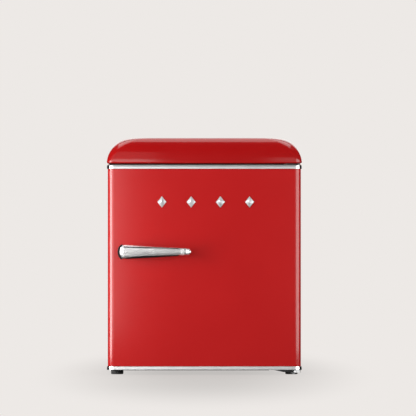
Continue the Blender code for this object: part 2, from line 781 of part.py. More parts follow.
# ---------------------------------------------------------------- inside the cabinet
def build_ice_box():
    """Folded aluminium evaporator, open at the front."""
    outer = rounded_rectangle((-ICE_HALF, ICE_BOTTOM), (ICE_HALF, ICE_TOP), 0.008)
    inner = rounded_rectangle((-ICE_HALF + ICE_WALL, ICE_BOTTOM + ICE_WALL),
                              (ICE_HALF - ICE_WALL, ICE_TOP - ICE_WALL), 0.006)
    shell = loft([at_depth(outer, ICE_REAR), at_depth(outer, ICE_FRONT), at_depth(inner, ICE_FRONT),
                  at_depth(inner, ICE_REAR - ICE_WALL)])
    add_object("evaporator", shell, aluminium())


def build_ice_frame():
    """White frame on the mouth of the ice box; its sides carry the flap's pivots."""
    near = ICE_FRONT - GAP
    outer = rounded_rectangle((-FRAME_HALF, ICE_BOTTOM - 0.002), (FRAME_HALF, ICE_TOP), 0.004)
    inner = rounded_rectangle((-FRAME_OPEN_HALF, 0.3505), (FRAME_OPEN_HALF, ICE_TOP - 0.0035), 0.003)
    ring = closed_ring([at_depth(outer, FRAME_FRONT), at_depth(outer, near), at_depth(inner, near),
                        at_depth(inner, FRAME_FRONT)])
    frame = add_object("ice_box_frame", ring, white_plastic())
    radius = FLAP_PIN_RADIUS + PIN_CLEARANCE
    bore = circle(radius, SMALL_SIDES, (FLAP_AXIS.y, FLAP_AXIS.z))
    reach = FRAME_OPEN_HALF + 0.0045
    for sign in (-1, 1):
        sides = sorted((sign * (FRAME_OPEN_HALF - 0.002), sign * reach))
        combine(frame, loft([at_side(bore, sides[0]), at_side(bore, sides[1])]), "DIFFERENCE")


def build_ice_flap(axis):
    front = FLAP_AXIS.y - FLAP_THICKNESS / 2
    back = FLAP_AXIS.y + FLAP_THICKNESS / 2
    panel = box((-FLAP_HALF, front, 0.352), (FLAP_HALF, back, 0.4335))
    flap = add_object("ice_flap", panel, white_plastic(), axis)
    pivot = circle(FLAP_PIN_RADIUS, SMALL_SIDES, (FLAP_AXIS.y, FLAP_AXIS.z))
    reach = FRAME_OPEN_HALF + 0.0035
    combine(flap, loft([at_side(pivot, -reach), at_side(pivot, reach)]), "UNION")
    grip = box((-0.035, front - 0.006, 0.3545), (0.035, front + 0.001, 0.3575))
    combine(flap, grip, "UNION")


def build_drip_tray(axis):
    """Shallow tray that hangs by its lips from the liner's ledges."""
    lip_top = TRAY_LIP_LOW + TRAY_WALL

    def level(half, inset, z, radius=0.006):
        outline = rounded_rectangle((-half, TRAY_FRONT + inset), (half, TRAY_REAR - inset), radius)
        return at_height(outline, z)
    tray = loft([level(TRAY_HALF, 0.0, TRAY_BOTTOM), level(TRAY_HALF, 0.0, TRAY_LIP_LOW),
                 level(TRAY_LIP_HALF, 0.0, TRAY_LIP_LOW), level(TRAY_LIP_HALF, 0.0, lip_top),
                 level(TRAY_HALF - TRAY_WALL, TRAY_WALL, lip_top, 0.0045),
                 level(TRAY_HALF - TRAY_WALL, TRAY_WALL, TRAY_BOTTOM + TRAY_WALL, 0.0045)])
    add_object("drip_tray", tray, clear_plastic(), axis)


def build_shelf():
    glass_top = SHELF_BOTTOM + SHELF_GLASS
    glass = box((-SHELF_HALF, SHELF_FRONT, SHELF_BOTTOM), (SHELF_HALF, CAVITY_REAR - 0.006, glass_top))
    add_object("glass_shelf", glass, clear_glass())
    trim = box((-SHELF_HALF, SHELF_FRONT - SHELF_RAIL, SHELF_BOTTOM - 0.0015),
               (SHELF_HALF, SHELF_FRONT - GAP, glass_top + 0.003))
    edge = add_object("shelf_trim", trim, white_plastic())
    soften(edge, 0.0012, 1)


def build_thermostat(knob_axis):
    """Control box on the right wall, with its round knob facing into the compartment."""
    low = (KNOB_AXIS.x, CONTROL_BOX_FRONT, CONTROL_BOX_LOW)
    high = (LINER_HALF - GAP, CONTROL_BOX_REAR, CONTROL_BOX_HIGH)
    housing = add_object("thermostat_housing", box(low, high), white_plastic())
    soften(housing, 0.003, 2)
    hub = (KNOB_AXIS.y, KNOB_AXIS.z)
    base = KNOB_AXIS.x - GAP
    rings = [at_side(circle(radius, ROUND_SIDES, hub), base - rise) for radius, rise in KNOB_PROFILE]
    knob = add_object("thermostat_knob", loft(rings), white_plastic(), knob_axis, smooth=True)
    grip = box((base - KNOB_CREST, hub[0] - GRIP_HALF_WIDTH, hub[1] - GRIP_HALF_LENGTH),
               (base - KNOB_CREST / 2, hub[0] + GRIP_HALF_WIDTH, hub[1] + GRIP_HALF_LENGTH))
    combine(knob, grip, "UNION")


# ---------------------------------------------------------------- cooling circuit at the rear
def build_base_plate():
    front = BAY_FRONT + 2 * GAP + FOLDED_SHEET + GAP
    plate = box((-FOAM_HALF, front, CABINET_BOTTOM),
                (FOAM_HALF, CABINET_REAR - 0.002, CABINET_BOTTOM + BASE_PLATE_SHEET))
    add_object("base_plate", plate, zinc_steel())


def oval(centre, half_x, half_y, sides=ROUND_SIDES):
    turn = [math.tau * i / sides for i in range(sides)]
    return [(centre.x + half_x * math.cos(a), centre.y + half_y * math.sin(a)) for a in turn]


def build_can():
    """Hermetic can with the rim of its welded seam."""
    rim_top = CAN_SEAM + 0.004
    section = ((0.55, 0.0320), (0.86, 0.0380), (0.98, 0.0500), (1.0, CAN_SEAM), (1.035, CAN_SEAM),
               (1.035, rim_top), (1.0, rim_top), (0.97, 0.1150), (0.84, 0.1320), (0.50, 0.1400))
    rings = [at_height(oval(COMPRESSOR_CENTRE, CAN_HALF_X * k, CAN_HALF_Y * k, 20), z) for k, z in section]
    add_object("compressor", loft(rings), black_steel(), smooth=True)


def build_compressor_mount():
    """Leg plate on four rubber mounts."""
    reach_x, reach_y = LEG_X + 0.013, LEG_Y + 0.010
    outline = rounded_rectangle((COMPRESSOR_CENTRE.x - reach_x, COMPRESSOR_CENTRE.y - reach_y),
                                (COMPRESSOR_CENTRE.x + reach_x, COMPRESSOR_CENTRE.y + reach_y), 0.010)
    mount = loft([at_height(outline, LEG_LOW), at_height(outline, LEG_TOP)])
    add_object("compressor_mount", mount, black_steel())
    rubber = grey_rubber()
    floor = CABINET_BOTTOM + BASE_PLATE_SHEET + GAP
    corners = [(sx, sy) for sx in (-1, 1) for sy in (-1, 1)]
    for number, (sx, sy) in enumerate(corners, start=1):
        centre = (COMPRESSOR_CENTRE.x + sx * LEG_X, COMPRESSOR_CENTRE.y + sy * LEG_Y)
        grommet = turned([(0.0095, floor), (0.0095, floor + 0.004), (0.0070, floor + 0.0065),
                          (0.0085, LEG_LOW - GAP)], SMALL_SIDES, centre)
        add_object(f"compressor_grommet_{number}", grommet, rubber, smooth=True)


def build_terminal_cover():
    """Cover of the starter relay on the can's side, with the empty gland of the supply cord."""
    right = COMPRESSOR_CENTRE.x - CAN_HALF_X * 1.035 - GAP
    left = right - TERMINAL_DEPTH
    cover = box((left, COMPRESSOR_CENTRE.y - TERMINAL_HALF, TERMINAL_LOW),
                (right, COMPRESSOR_CENTRE.y + TERMINAL_HALF, TERMINAL_HIGH))
    terminal = add_object("terminal_cover", cover, black_plastic())
    soften(terminal, 0.003)
    near = COMPRESSOR_CENTRE.y + TERMINAL_HALF + GAP
    far = near + GLAND_LENGTH
    hub = ((left + right) / 2, GLAND_Z)
    gland = closed_ring([at_depth(circle(radius, SMALL_SIDES, hub), y) for radius, y in (
        (0.0075, near), (0.0065, far), (0.0036, far), (0.0036, near))])
    add_object("cord_gland", gland, black_plastic(), smooth=True)


def condenser_path():
    """Serpentine from its lower right end to its upper end, with a half turn at each side."""
    points = []
    half_pitch = CONDENSER_PITCH / 2
    for i in range(CONDENSER_PASSES):
        z = CONDENSER_LOW + i * CONDENSER_PITCH
        direction = 1 if i % 2 == 0 else -1
        points.append(Vector((-direction * (CONDENSER_HALF - half_pitch), CONDENSER_Y, z)))
        points.append(Vector((direction * (CONDENSER_HALF - half_pitch), CONDENSER_Y, z)))
        if i < CONDENSER_PASSES - 1:
            for x, rise in arc(CONDENSER_HALF - half_pitch, z + half_pitch, half_pitch, -90, 90, 5)[1:-1]:
                points.append(Vector((direction * x, CONDENSER_Y, rise)))
    return points


def build_condenser():
    path = condenser_path()
    add_tube("condenser_coil", path, CONDENSER_RADIUS, black_steel())
    steel = black_steel()
    rear = CONDENSER_Y - CONDENSER_RADIUS - GAP
    front = FOAM_REAR + 2 * GAP + THIN_SHEET
    low = CONDENSER_LOW - 0.008
    high = CONDENSER_LOW + (CONDENSER_PASSES - 1) * CONDENSER_PITCH + 0.008
    for side, sign in (("left", -1), ("right", 1)):
        left, right = sign * RAIL_X - RAIL_HALF, sign * RAIL_X + RAIL_HALF
        channel = [(left, front), (left + RAIL_WALL, front), (left + RAIL_WALL, rear - RAIL_WALL),
                   (right - RAIL_WALL, rear - RAIL_WALL), (right - RAIL_WALL, front), (right, front),
                   (right, rear), (left, rear)]
        rail = loft([at_height(channel, low), at_height(channel, high)])
        add_object(f"condenser_bracket_{side}", rail, steel)


def smooth_path(corners, bend, steps=4):
    """A route through its corners, each one rounded by a bend radius."""
    points = [Vector(corners[0])]
    for before, corner, after in zip(corners, corners[1:], corners[2:]):
        corner = Vector(corner)
        into = (Vector(before) - corner).normalized() * bend
        out = (Vector(after) - corner).normalized() * bend
        for i in range(steps + 1):
            t = i / steps
            points.append(corner + into * (1 - t) ** 2 + out * t ** 2)
    points.append(Vector(corners[-1]))
    return points


def build_pipes():
    metal = copper()
    ceiling = BAY_TOP - 2 * GAP - FOLDED_SHEET
    discharge_y = COMPRESSOR_CENTRE.y + 0.020
    suction_y = COMPRESSOR_CENTRE.y - 0.020
    discharge = [(0.110, discharge_y, 0.1425), (0.110, discharge_y, DISCHARGE_Z), (0.170, 0.190, DISCHARGE_Z),
                 (0.170, 0.2335, 0.160), (0.170, CONDENSER_Y, RETURN_Z),
                 (-CONDENSER_HALF + 0.010, CONDENSER_Y, RETURN_Z)]
    add_tube("discharge_pipe", smooth_path(discharge, 0.007), 0.0024, metal)
    suction = [(0.070, suction_y, 0.1425), (0.070, suction_y, 0.153), (-0.010, 0.110, 0.153),
               (-0.010, 0.110, ceiling)]
    add_tube("suction_pipe", smooth_path(suction, 0.006), 0.0030, metal)
    drier = turned([(0.0022, 0.062), (0.0075, 0.070), (0.0075, 0.118), (0.0022, 0.126)], SMALL_SIDES,
                   DRIER_AXIS)
    add_object("filter_drier", drier, metal, smooth=True)
    capillary = [(*DRIER_AXIS, 0.062 - GAP), (*DRIER_AXIS, 0.045), (-0.120, 0.150, 0.045),
                 (-0.120, 0.130, 0.100), (-0.120, 0.130, ceiling)]
    add_tube("capillary_tube", smooth_path(capillary, 0.008), 0.0012, metal)


# ---------------------------------------------------------------- whole fridge
def build_fridge():
    clear_scene()
    door_axis = add_empty("door_axis", DOOR_AXIS)
    flap_axis = add_empty("ice_flap_axis", FLAP_AXIS)
    tray_slide = add_empty("drip_tray_slide", (0.0, TRAY_FRONT, TRAY_BOTTOM))
    knob_axis = add_empty("thermostat_knob_axis", KNOB_AXIS)
    left_foot = add_empty("foot_left_axis", (-FOOT_X, FOOT_FRONT_Y, 0.0))
    right_foot = add_empty("foot_right_axis", (FOOT_X, FOOT_FRONT_Y, 0.0))

    build_side_panels()
    build_top_panel()
    build_bottom_panel()
    build_back_panel()
    build_cabinet_foam()
    build_liner()
    build_top_cover()
    build_top_cover_foam()
    build_top_cover_tray()
    build_upper_hinge()
    build_lower_hinge()
    build_front_feet(left_foot, right_foot)
    build_rear_feet()

    for build in (build_door_skin, build_door_foam, build_trim_strips, build_end_caps, build_door_liner,
                  build_door_gasket, build_door_bins, build_handle, build_ornaments):
        build(door_axis)

    build_ice_box()
    build_ice_frame()
    build_ice_flap(flap_axis)
    build_drip_tray(tray_slide)
    build_shelf()
    build_thermostat(knob_axis)

    build_base_plate()
    build_can()
    build_compressor_mount()
    build_terminal_cover()
    build_condenser()
    build_pipes()


build_fridge()
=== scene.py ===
"""Looks of the retro mini fridge: shells, chrome, enamel, cold compartment and cooling circuit.

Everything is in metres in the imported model's frame: +Z up, the door faces -Y, the floor is z = 0.
"""
import json
from math import asin, copysign, cos, pi, radians, sin, sqrt, tau

import bmesh
import bpy
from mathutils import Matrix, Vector


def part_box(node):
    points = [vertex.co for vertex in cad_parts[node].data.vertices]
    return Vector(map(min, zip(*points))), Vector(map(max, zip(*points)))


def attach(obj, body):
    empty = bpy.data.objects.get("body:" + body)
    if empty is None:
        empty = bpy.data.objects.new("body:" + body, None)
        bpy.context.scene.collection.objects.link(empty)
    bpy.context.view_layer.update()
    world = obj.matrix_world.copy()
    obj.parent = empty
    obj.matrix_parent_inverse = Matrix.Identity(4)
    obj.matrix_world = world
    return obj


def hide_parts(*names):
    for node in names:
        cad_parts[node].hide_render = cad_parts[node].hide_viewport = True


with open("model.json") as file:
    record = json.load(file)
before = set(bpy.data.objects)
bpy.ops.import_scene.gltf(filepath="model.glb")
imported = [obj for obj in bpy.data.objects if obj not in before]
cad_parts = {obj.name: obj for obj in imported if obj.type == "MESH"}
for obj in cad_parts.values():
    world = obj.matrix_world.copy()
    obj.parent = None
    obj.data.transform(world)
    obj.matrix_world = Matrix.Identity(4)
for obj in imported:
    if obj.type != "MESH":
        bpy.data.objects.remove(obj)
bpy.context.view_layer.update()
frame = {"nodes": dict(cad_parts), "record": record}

SHARP = radians(38)         # edges that turn by more than this stay sharp


# ---------------- outlines
def arc(cu, cv, radius, start, end, steps):
    turn = [radians(start + (end - start) * i / steps) for i in range(steps + 1)]
    return [(cu + radius * cos(a), cv + radius * sin(a)) for a in turn]


def full_turn(sides):
    return [tau * i / sides for i in range(sides)]


def quarter(steps, first=0):
    """Angles of a quarter turn in equal steps."""
    return [pi / 2 * i / steps for i in range(first, steps + 1)]


def circle(radius, sides, centre=(0.0, 0.0)):
    return [(centre[0] + radius * cos(a), centre[1] + radius * sin(a)) for a in full_turn(sides)]


def rounded(low, high, radius, steps=8):
    left, bottom, right, top = low[0] + radius, low[1] + radius, high[0] - radius, high[1] - radius
    return (arc(right, bottom, radius, -90, 0, steps) + arc(right, top, radius, 0, 90, steps)
            + arc(left, top, radius, 90, 180, steps) + arc(left, bottom, radius, 180, 270, steps))


def grown(low, high, amount):
    return (low[0] - amount, low[1] - amount), (high[0] + amount, high[1] + amount)


def middle(low, high, first=0, second=1):
    """Middle of a box along two of its axes."""
    return (low[first] + high[first]) / 2, (low[second] + high[second]) / 2


def front_of(low, high):
    """Outline of a box seen from the front, as its low and high corner."""
    return (low[0], low[2]), (high[0], high[2])


def at_z(outline, z):
    return [Vector((x, y, z)) for x, y in outline]


def at_y(outline, y):
    return [Vector((x, y, z)) for x, z in outline]


def at_x(outline, x):
    return [Vector((x, y, z)) for y, z in outline]


# ---------------- meshes
def link_loops(mesh, low, high):
    for i in range(len(low)):
        j = (i + 1) % len(low)
        mesh.faces.new((low[i], low[j], high[j], high[i]))


def loft(rings, mesh=None, caps=True):
    """A body through rings of equal length; caps close its two ends."""
    mesh = mesh or bmesh.new()
    loops = [[mesh.verts.new(p) for p in ring] for ring in rings]
    for low, high in zip(loops, loops[1:]):
        link_loops(mesh, low, high)
    if caps:
        mesh.faces.new(list(reversed(loops[0])))
        mesh.faces.new(loops[-1])
    return mesh


def ring_body(rings, mesh=None):
    """A body whose last section joins the first again."""
    mesh = mesh or bmesh.new()
    loops = [[mesh.verts.new(p) for p in ring] for ring in rings]
    for low, high in zip(loops, loops[1:] + loops[:1]):
        link_loops(mesh, low, high)
    return mesh


def block(low, high, edge=0.001, steps=3, mesh=None):
    """A box with every edge rounded."""
    levels = [(edge * (1 - sin(a)), low[2] + edge * (1 - cos(a))) for a in quarter(steps)]
    levels += [(inset, high[2] + low[2] - z) for inset, z in reversed(levels)]
    rings = []
    for inset, z in levels:
        corner = max(edge - inset, edge * 0.04)
        rings.append(at_z(rounded(*grown(low, high, -inset), corner, steps), z))
    return loft(rings, mesh)


def turned(profile, sides=48, centre=(0.0, 0.0), mesh=None):
    """A round body about an upright axis, from (radius, height) pairs."""
    return loft([at_z(circle(max(r, 1e-5), sides, centre), z) for r, z in profile], mesh)


PAN_HEAD = ((1.0, 0.0), (1.0, 0.25), (0.93, 0.55), (0.75, 0.82), (0.45, 0.97), (0.2, 1.0), (0.16, 0.55),
            (0.02, 0.45))


def screw_head(mesh, centre, normal, radius, height):
    """A domed pan head with a cross recess, on a surface with the given outward normal."""
    normal = Vector(normal)
    side = normal.orthogonal().normalized()
    other = normal.cross(side)
    rings = []
    for share, rise in PAN_HEAD:
        ring = []
        for a in full_turn(24):
            cross = 1.0 if rise != 1.0 or share > 0.3 else 1.0 + 0.8 * abs(cos(2 * a)) ** 4
            reach = radius * share * cross
            ring.append(Vector(centre) + side * reach * cos(a) + other * reach * sin(a)
                        + normal * height * rise)
        rings.append(ring)
    loft(rings, mesh)


def linked(name, mesh):
    """Link a new object made from a bmesh."""
    data = bpy.data.meshes.new(name)
    mesh.to_mesh(data)
    mesh.free()
    obj = bpy.data.objects.new(name, data)
    bpy.context.scene.collection.objects.link(obj)
    return obj


def tidy_normals(mesh):
    bmesh.ops.recalc_face_normals(mesh, faces=mesh.faces[:])


def soften(data):
    data.shade_smooth()
    data.set_sharp_from_angle(angle=SHARP)


def weigh(obj):
    """Let large flat faces set the shading next to their rounded edges."""
    modifier = obj.modifiers.new("Weighted", "WEIGHTED_NORMAL")
    modifier.keep_sharp = True


def settle(obj, body, replaces):
    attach(obj, body)
    if replaces:
        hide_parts(*replaces)


def piece(name, mesh, body, slot, replaces=(), weighted=True, material=None):
    """Turn a bmesh into a named piece that rides on a body; its slot gives the usual material."""
    tidy_normals(mesh)
    obj = linked(name, mesh)
    soften(obj.data)
    obj.data.materials.append(material or MATERIALS[slot])
    if weighted:
        weigh(obj)
    settle(obj, body, replaces)
    return obj


def pipe(name, points, radius, slot, replaces):
    """A tube along a line of points, fixed to the cabinet."""
    curve = bpy.data.curves.new(name, "CURVE")
    curve.dimensions = "3D"
    curve.bevel_depth = radius
    curve.bevel_resolution = 5
    curve.use_fill_caps = True
    spline = curve.splines.new("POLY")
    spline.points.add(len(points) - 1)
    for target, point in zip(spline.points, points):
        target.co = (*point, 1.0)
    spline.use_smooth = True
    curve.materials.append(MATERIALS[slot])
    obj = bpy.data.objects.new(name, curve)
    bpy.context.scene.collection.objects.link(obj)
    settle(obj, "cabinet", replaces)


def cut_away(obj, mesh):
    """Apply an exact Boolean difference and leave a plain mesh."""
    tidy_normals(mesh)
    cutter = linked("cutter", mesh)
    modifier = obj.modifiers.new("Cut", "BOOLEAN")
    modifier.operation = "DIFFERENCE"
    modifier.solver = "EXACT"
    modifier.object = cutter
    depsgraph = bpy.context.evaluated_depsgraph_get()
    result = bpy.data.meshes.new_from_object(obj.evaluated_get(depsgraph))
    obj.modifiers.remove(modifier)
    obj.data = result
    bpy.data.objects.remove(cutter, do_unlink=True)
    soften(result)


# ---------------- materials
def add_node(tree, kind, **values):
    """A new shader node with constants in its inputs."""
    node = tree.nodes.new("ShaderNode" + kind)
    for key, value in values.items():
        node.inputs[key.replace("_", " ")].default_value = value
    return node


def ranged(tree, value, source, target, interpolation="LINEAR"):
    (low, high), (lowest, highest) = source, target
    node = add_node(tree, "MapRange", From_Min=low, From_Max=high, To_Min=lowest, To_Max=highest)
    node.interpolation_type = interpolation
    tree.links.new(value, node.inputs["Value"])
    return node.outputs["Result"]


class Paint:
    """A Principled material with a few node helpers; object coordinates are metres."""

    def __init__(self, name, settings):
        self.mat = bpy.data.materials.new(name)
        self.mat.use_nodes = True
        self.tree = self.mat.node_tree
        self.shader = self.tree.nodes["Principled BSDF"]
        for key, value in settings.items():
            self.shader.inputs[key.replace("_", " ")].default_value = value
        self.coords = add_node(self.tree, "TexCoord").outputs["Object"]

    def link(self, output, target):
        self.tree.links.new(output, target)

    def pattern(self, scale, detail=None, stretch=(1, 1, 1)):
        """Noise in stretched coordinates or, where no detail is given, the distances in round cells."""
        if detail is None:
            cells = add_node(self.tree, "TexVoronoi", Scale=scale)
            self.link(self.coords, cells.inputs["Vector"])
            return cells.outputs["Distance"]
        mapping = add_node(self.tree, "Mapping", Scale=stretch)
        self.link(self.coords, mapping.inputs["Vector"])
        noise = add_node(self.tree, "TexNoise", Scale=scale, Detail=detail)
        self.link(mapping.outputs["Vector"], noise.inputs["Vector"])
        return noise.outputs["Fac"]

    def colour(self, factor, low, high, span):
        ramp = add_node(self.tree, "ValToRGB")
        for element, place, tint in zip(ramp.color_ramp.elements, span, (low, high)):
            element.position = place
            element.color = (*tint, 1.0)
        self.link(factor, ramp.inputs["Fac"])
        self.link(ramp.outputs["Color"], self.shader.inputs["Base Color"])

    def rough(self, factor, low, high):
        self.link(ranged(self.tree, factor, NOISE_SPAN, (low, high)), self.shader.inputs["Roughness"])

    def bump(self, height, strength, distance):
        node = add_node(self.tree, "Bump", Strength=strength, Distance=distance)
        self.link(height, node.inputs["Height"])
        self.link(node.outputs["Normal"], self.shader.inputs["Normal"])


NOISE_SPAN = (0.3, 0.7)          # noise seldom leaves this range
GRAIN = (0.05, 1, 1)             # draws noise out along x, as brushing does


def paint(name, tint, colours, sheen, rough, relief=None, bump=None, span=NOISE_SPAN, **settings):
    """A material from three patterns: one tints it, one varies its roughness and one raises it."""
    made = Paint(name, settings)
    made.colour(made.pattern(*tint), *colours, span)
    made.rough(made.pattern(*sheen), *rough)
    if relief:
        made.bump(made.pattern(*relief), *bump)
    return made.mat


MATERIALS = {
    # Gloss enamel on steel: a satin red under a clear coat, with faint orange peel.
    "red_enamel": paint(
        "red_enamel", (9.0, 2.0), ((0.390, 0.0034, 0.0038), (0.404, 0.0042, 0.0046)),
        (60.0, 4.0), (0.40, 0.46), (420.0, 2.0), (0.05, 0.0004),
        Specular_IOR_Level=0.12, Coat_Weight=1.0, Coat_Roughness=0.10),
    # Glossy moulded plastic of the top cover.
    "red_gloss_plastic": paint(
        "red_moulding", (7.0, 2.0), ((0.305, 0.0018, 0.0022), (0.320, 0.0026, 0.0029)),
        (45.0, 4.0), (0.36, 0.42), (300.0, 2.0), (0.05, 0.0005),
        Specular_IOR_Level=0.10, Coat_Weight=0.9, Coat_Roughness=0.09),
    # Satin chrome of the strips and ornaments.
    "chrome": paint(
        "chrome", (25.0, 3.0), ((0.77, 0.785, 0.80), (0.84, 0.85, 0.86)), (140.0, 5.0), (0.28, 0.34),
        (900.0, 2.0), (0.02, 0.0003), Metallic=1.0),
    # Zinc-plated sheet with its crystal pattern.
    "zinc_steel": paint(
        "zinc", (110.0,), ((0.60, 0.61, 0.63), (0.46, 0.47, 0.49)), (90.0, 5.0), (0.28, 0.42),
        (260.0, 3.0), (0.08, 0.0004), (0.1, 0.9), Metallic=1.0),
    "black_plastic": paint(
        "black_moulding", (60.0, 4.0), ((0.006, 0.006, 0.0065), (0.012, 0.012, 0.0125)),
        (160.0, 4.0), (0.48, 0.62), (900.0, 3.0), (0.18, 0.0004), Specular_IOR_Level=0.2),
    "black_steel": paint(
        "black_enamel", (40.0, 4.0), ((0.010, 0.010, 0.011), (0.022, 0.022, 0.024)),
        (120.0, 4.0), (0.34, 0.50), (500.0, 3.0), (0.12, 0.0004), Coat_Weight=0.3, Coat_Roughness=0.2),
    "grey_rubber": paint(
        "grey_rubber", (120.0, 4.0), ((0.030, 0.030, 0.031), (0.058, 0.058, 0.058)),
        (200.0, 4.0), (0.62, 0.82), (1100.0, 3.0), (0.25, 0.0004), Specular_IOR_Level=0.3),
    "white_rubber": paint(
        "seal_rubber", (70.0, 3.0), ((0.64, 0.64, 0.63), (0.72, 0.72, 0.71)), (150.0, 3.0), (0.52, 0.66),
        (700.0, 2.0), (0.10, 0.0004), Specular_IOR_Level=0.35),
    # Satin polystyrene of the inner walls and fittings.
    "white_plastic": paint(
        "white_moulding", (14.0, 3.0), ((0.76, 0.775, 0.785), (0.82, 0.83, 0.835)), (90.0, 4.0), (0.30, 0.42),
        (520.0, 2.0), (0.06, 0.0004), Specular_IOR_Level=0.45, Coat_Weight=0.15, Coat_Roughness=0.25),
    # Clear polystyrene with faint flow marks.
    "clear_plastic": paint(
        "clear_moulding", (20.0, 3.0), ((0.86, 0.91, 0.94), (0.93, 0.96, 0.97)), (60.0, 3.0, (1, 1, 0.3)),
        (0.06, 0.16), (140.0, 2.0, (1, 1, 0.2)), (0.05, 0.0004), Transmission_Weight=0.85, IOR=1.45),
    "clear_glass": paint(
        "shelf_glass", (12.0, 2.0), ((0.74, 0.90, 0.85), (0.80, 0.93, 0.89)), (80.0, 3.0), (0.02, 0.05),
        Transmission_Weight=0.95, IOR=1.5),
    # Rolled aluminium with brushed lines and a trace of frost bloom.
    "aluminium": paint(
        "aluminium", (18.0, 5.0), ((0.66, 0.68, 0.70), (0.80, 0.81, 0.82)), (300.0, 4.0, GRAIN), (0.30, 0.46),
        (500.0, 3.0, GRAIN), (0.15, 0.0004), Metallic=0.9),
    "copper": paint(
        "copper", (60.0, 5.0), ((0.52, 0.24, 0.14), (0.78, 0.42, 0.27)), (140.0, 4.0), (0.24, 0.42),
        (400.0, 3.0), (0.10, 0.0004), Metallic=1.0),
    "foam": paint(
        "rigid_foam", (90.0, 5.0), ((0.62, 0.50, 0.26), (0.78, 0.68, 0.40)), (60.0, 2.0), (0.82, 0.94),
        (420.0,), (0.5, 0.001)),
    "white_foam": paint(
        "bead_foam", (50.0, 3.0), ((0.82, 0.82, 0.82), (0.90, 0.90, 0.90)), (60.0, 2.0), (0.80, 0.92),
        (260.0,), (0.6, 0.001)),
}
# The handle's metal: brighter, with hair lines along its length.
HANDLE_CHROME = paint(
    "brushed_chrome", (30.0, 3.0, (0.2, 1, 1)), ((0.80, 0.81, 0.82), (0.88, 0.885, 0.89)),
    (400.0, 4.0, GRAIN), (0.22, 0.28), (900.0, 3.0, (0.03, 1, 1)), (0.012, 0.0002), Metallic=1.0)


def repaint_cad_nodes():
    for entry in frame["record"]["subparts"]:
        data = frame["nodes"][entry["node"]].data
        data.materials.clear()
        data.materials.append(MATERIALS[entry["material_slot"]])


# ---------------- top cover
SHOULDER = 0.0588                # height of the cover's soft shoulder
SIDE_LEAN = 0.062                # how far the shoulder leans in at the left and right
FRONT_LEAN = 0.020               # and at the front and rear
COVER_CORNER = 0.016             # corner radius in plan at the cover's foot
CORNER_GROWTH = 0.030            # and what it gains up to the crown
COVER_WALL = 0.003
COVER_LIP = 0.0036               # radius of the lip rolled under
TRAY_PLATE = 0.4905              # underside of the tray that the cover sits on


def cover_slices(low, high, offset, roll, foot):
    """Plan sections of the domed cover: a tall soft shoulder all round, then a faint crown."""
    crown = high[2] - low[2] - SHOULDER
    levels = [(roll * (1 - cos(t)), roll * (1 - sin(t))) for t in quarter(6)[:-1]] if roll else []
    levels.append((roll or foot, 0.0))
    sections = []
    for h, extra in levels:
        sections.append((0.0 if h < 0 else 1 - sqrt(1 - (h / SHOULDER) ** 2), low[2] + h, extra))
    begin = asin(max(levels[-1][0], 0.0) / SHOULDER)
    for i in range(1, 31):
        angle = begin + (pi / 2 - begin) * i / 30
        sections.append((1 - cos(angle), low[2] + SHOULDER * sin(angle), 0.0))
    rings = []
    for t, z, extra in sections:
        inset = extra + offset
        side, front = SIDE_LEAN * t, FRONT_LEAN * t
        corner = COVER_CORNER + CORNER_GROWTH * t - inset * 0.5
        down = offset * min(max(t, 0.0), 1.0)
        rings.append(at_z(rounded((low[0] + side + inset, low[1] + front + inset),
                                  (high[0] - side - inset, high[1] - front - inset), corner, 12), z - down))
    x, y = middle(low, high)
    edge = rings[-1]
    for i in range(1, 13):
        k = 1 - i / 12 * 0.985
        rise = crown * (1 + cos(pi * k)) / 2
        rings.append([Vector((x + (p.x - x) * k, y + (p.y - y) * k, p.z + rise)) for p in edge])
    return rings


def build_cover():
    """Domed cover with a lip rolled under, hollow above its tray."""
    low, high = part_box("top_cover")
    cover = piece("cover_shell", loft(cover_slices(low, high, 0.0, COVER_LIP, 0.0)), "cabinet",
                  "red_gloss_plastic", ["top_cover"], weighted=False)
    cut_away(cover, loft(cover_slices(low, high, COVER_WALL, 0.0, -0.004)))


def build_cover_tray():
    """Dark plate with ribs on its underside and a dark front skirt, which paints the shadow in the gap above
    the door.
    """
    low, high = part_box("top_cover_tray")
    mesh = bmesh.new()
    sections = []
    for inset, z in ((0.0008, TRAY_PLATE), (0.0, TRAY_PLATE + 0.0008), (0.0, high[2])):
        sections.append(at_z(rounded(*grown(low, high, -inset), 0.015 - inset), z))
    loft(sections, mesh)
    # front skirt: a dark sheet behind the gap over the door, painted shadow
    block((low[0] + 0.001, -0.156, low[2]), (0.185, -0.1525, TRAY_PLATE + 0.0004), 0.0006, 2, mesh)
    foot, head = TRAY_PLATE - 0.0001, TRAY_PLATE + 0.0006
    for i in range(9):
        x = -0.19 + i * 0.0475
        block((x - 0.0012, -0.10, foot), (x + 0.0012, 0.19, head), 0.0003, 1, mesh)
    piece("cover_tray", mesh, "cabinet", "black_plastic", ["top_cover_tray"])


# ---------------- door
DOOR_LOW, DOOR_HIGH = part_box("door_skin")
DOOR_RADIUS = 0.014
TAIL_PROUD = 0.0011              # the black tails stand this far out of the chrome
STRIP_SHORT = 0.0005             # the lower strip ends this far below its CAD body
STRIP_END = -0.62                # the chrome ends where the corner's normal is this far round
LINER_PLATE = -0.1577            # inner face of the liner's flat rim
LINER_CROWN = 0.0022             # rounding of the liner's raised wall


def door_route(inset, back, steps=20):
    """Left side, front and right side of the door from above, each point with its outward normal."""
    half = DOOR_HIGH[0] - inset
    front = DOOR_LOW[1] + inset
    radius = DOOR_RADIUS - inset
    route = [(-half, back, -1.0, 0.0), (-half, (back + front + radius) / 2, -1.0, 0.0)]
    for centre, start in ((-half + radius, 180), (half - radius, 270)):
        for i in range(steps + 1):
            a = radians(start + 90 * i / steps)
            route.append((centre + radius * cos(a), front + radius + radius * sin(a),
                          cos(a), sin(a)))
    route += [(half, (back + front + radius) / 2, 1.0, 0.0), (half, back, 1.0, 0.0)]
    return route


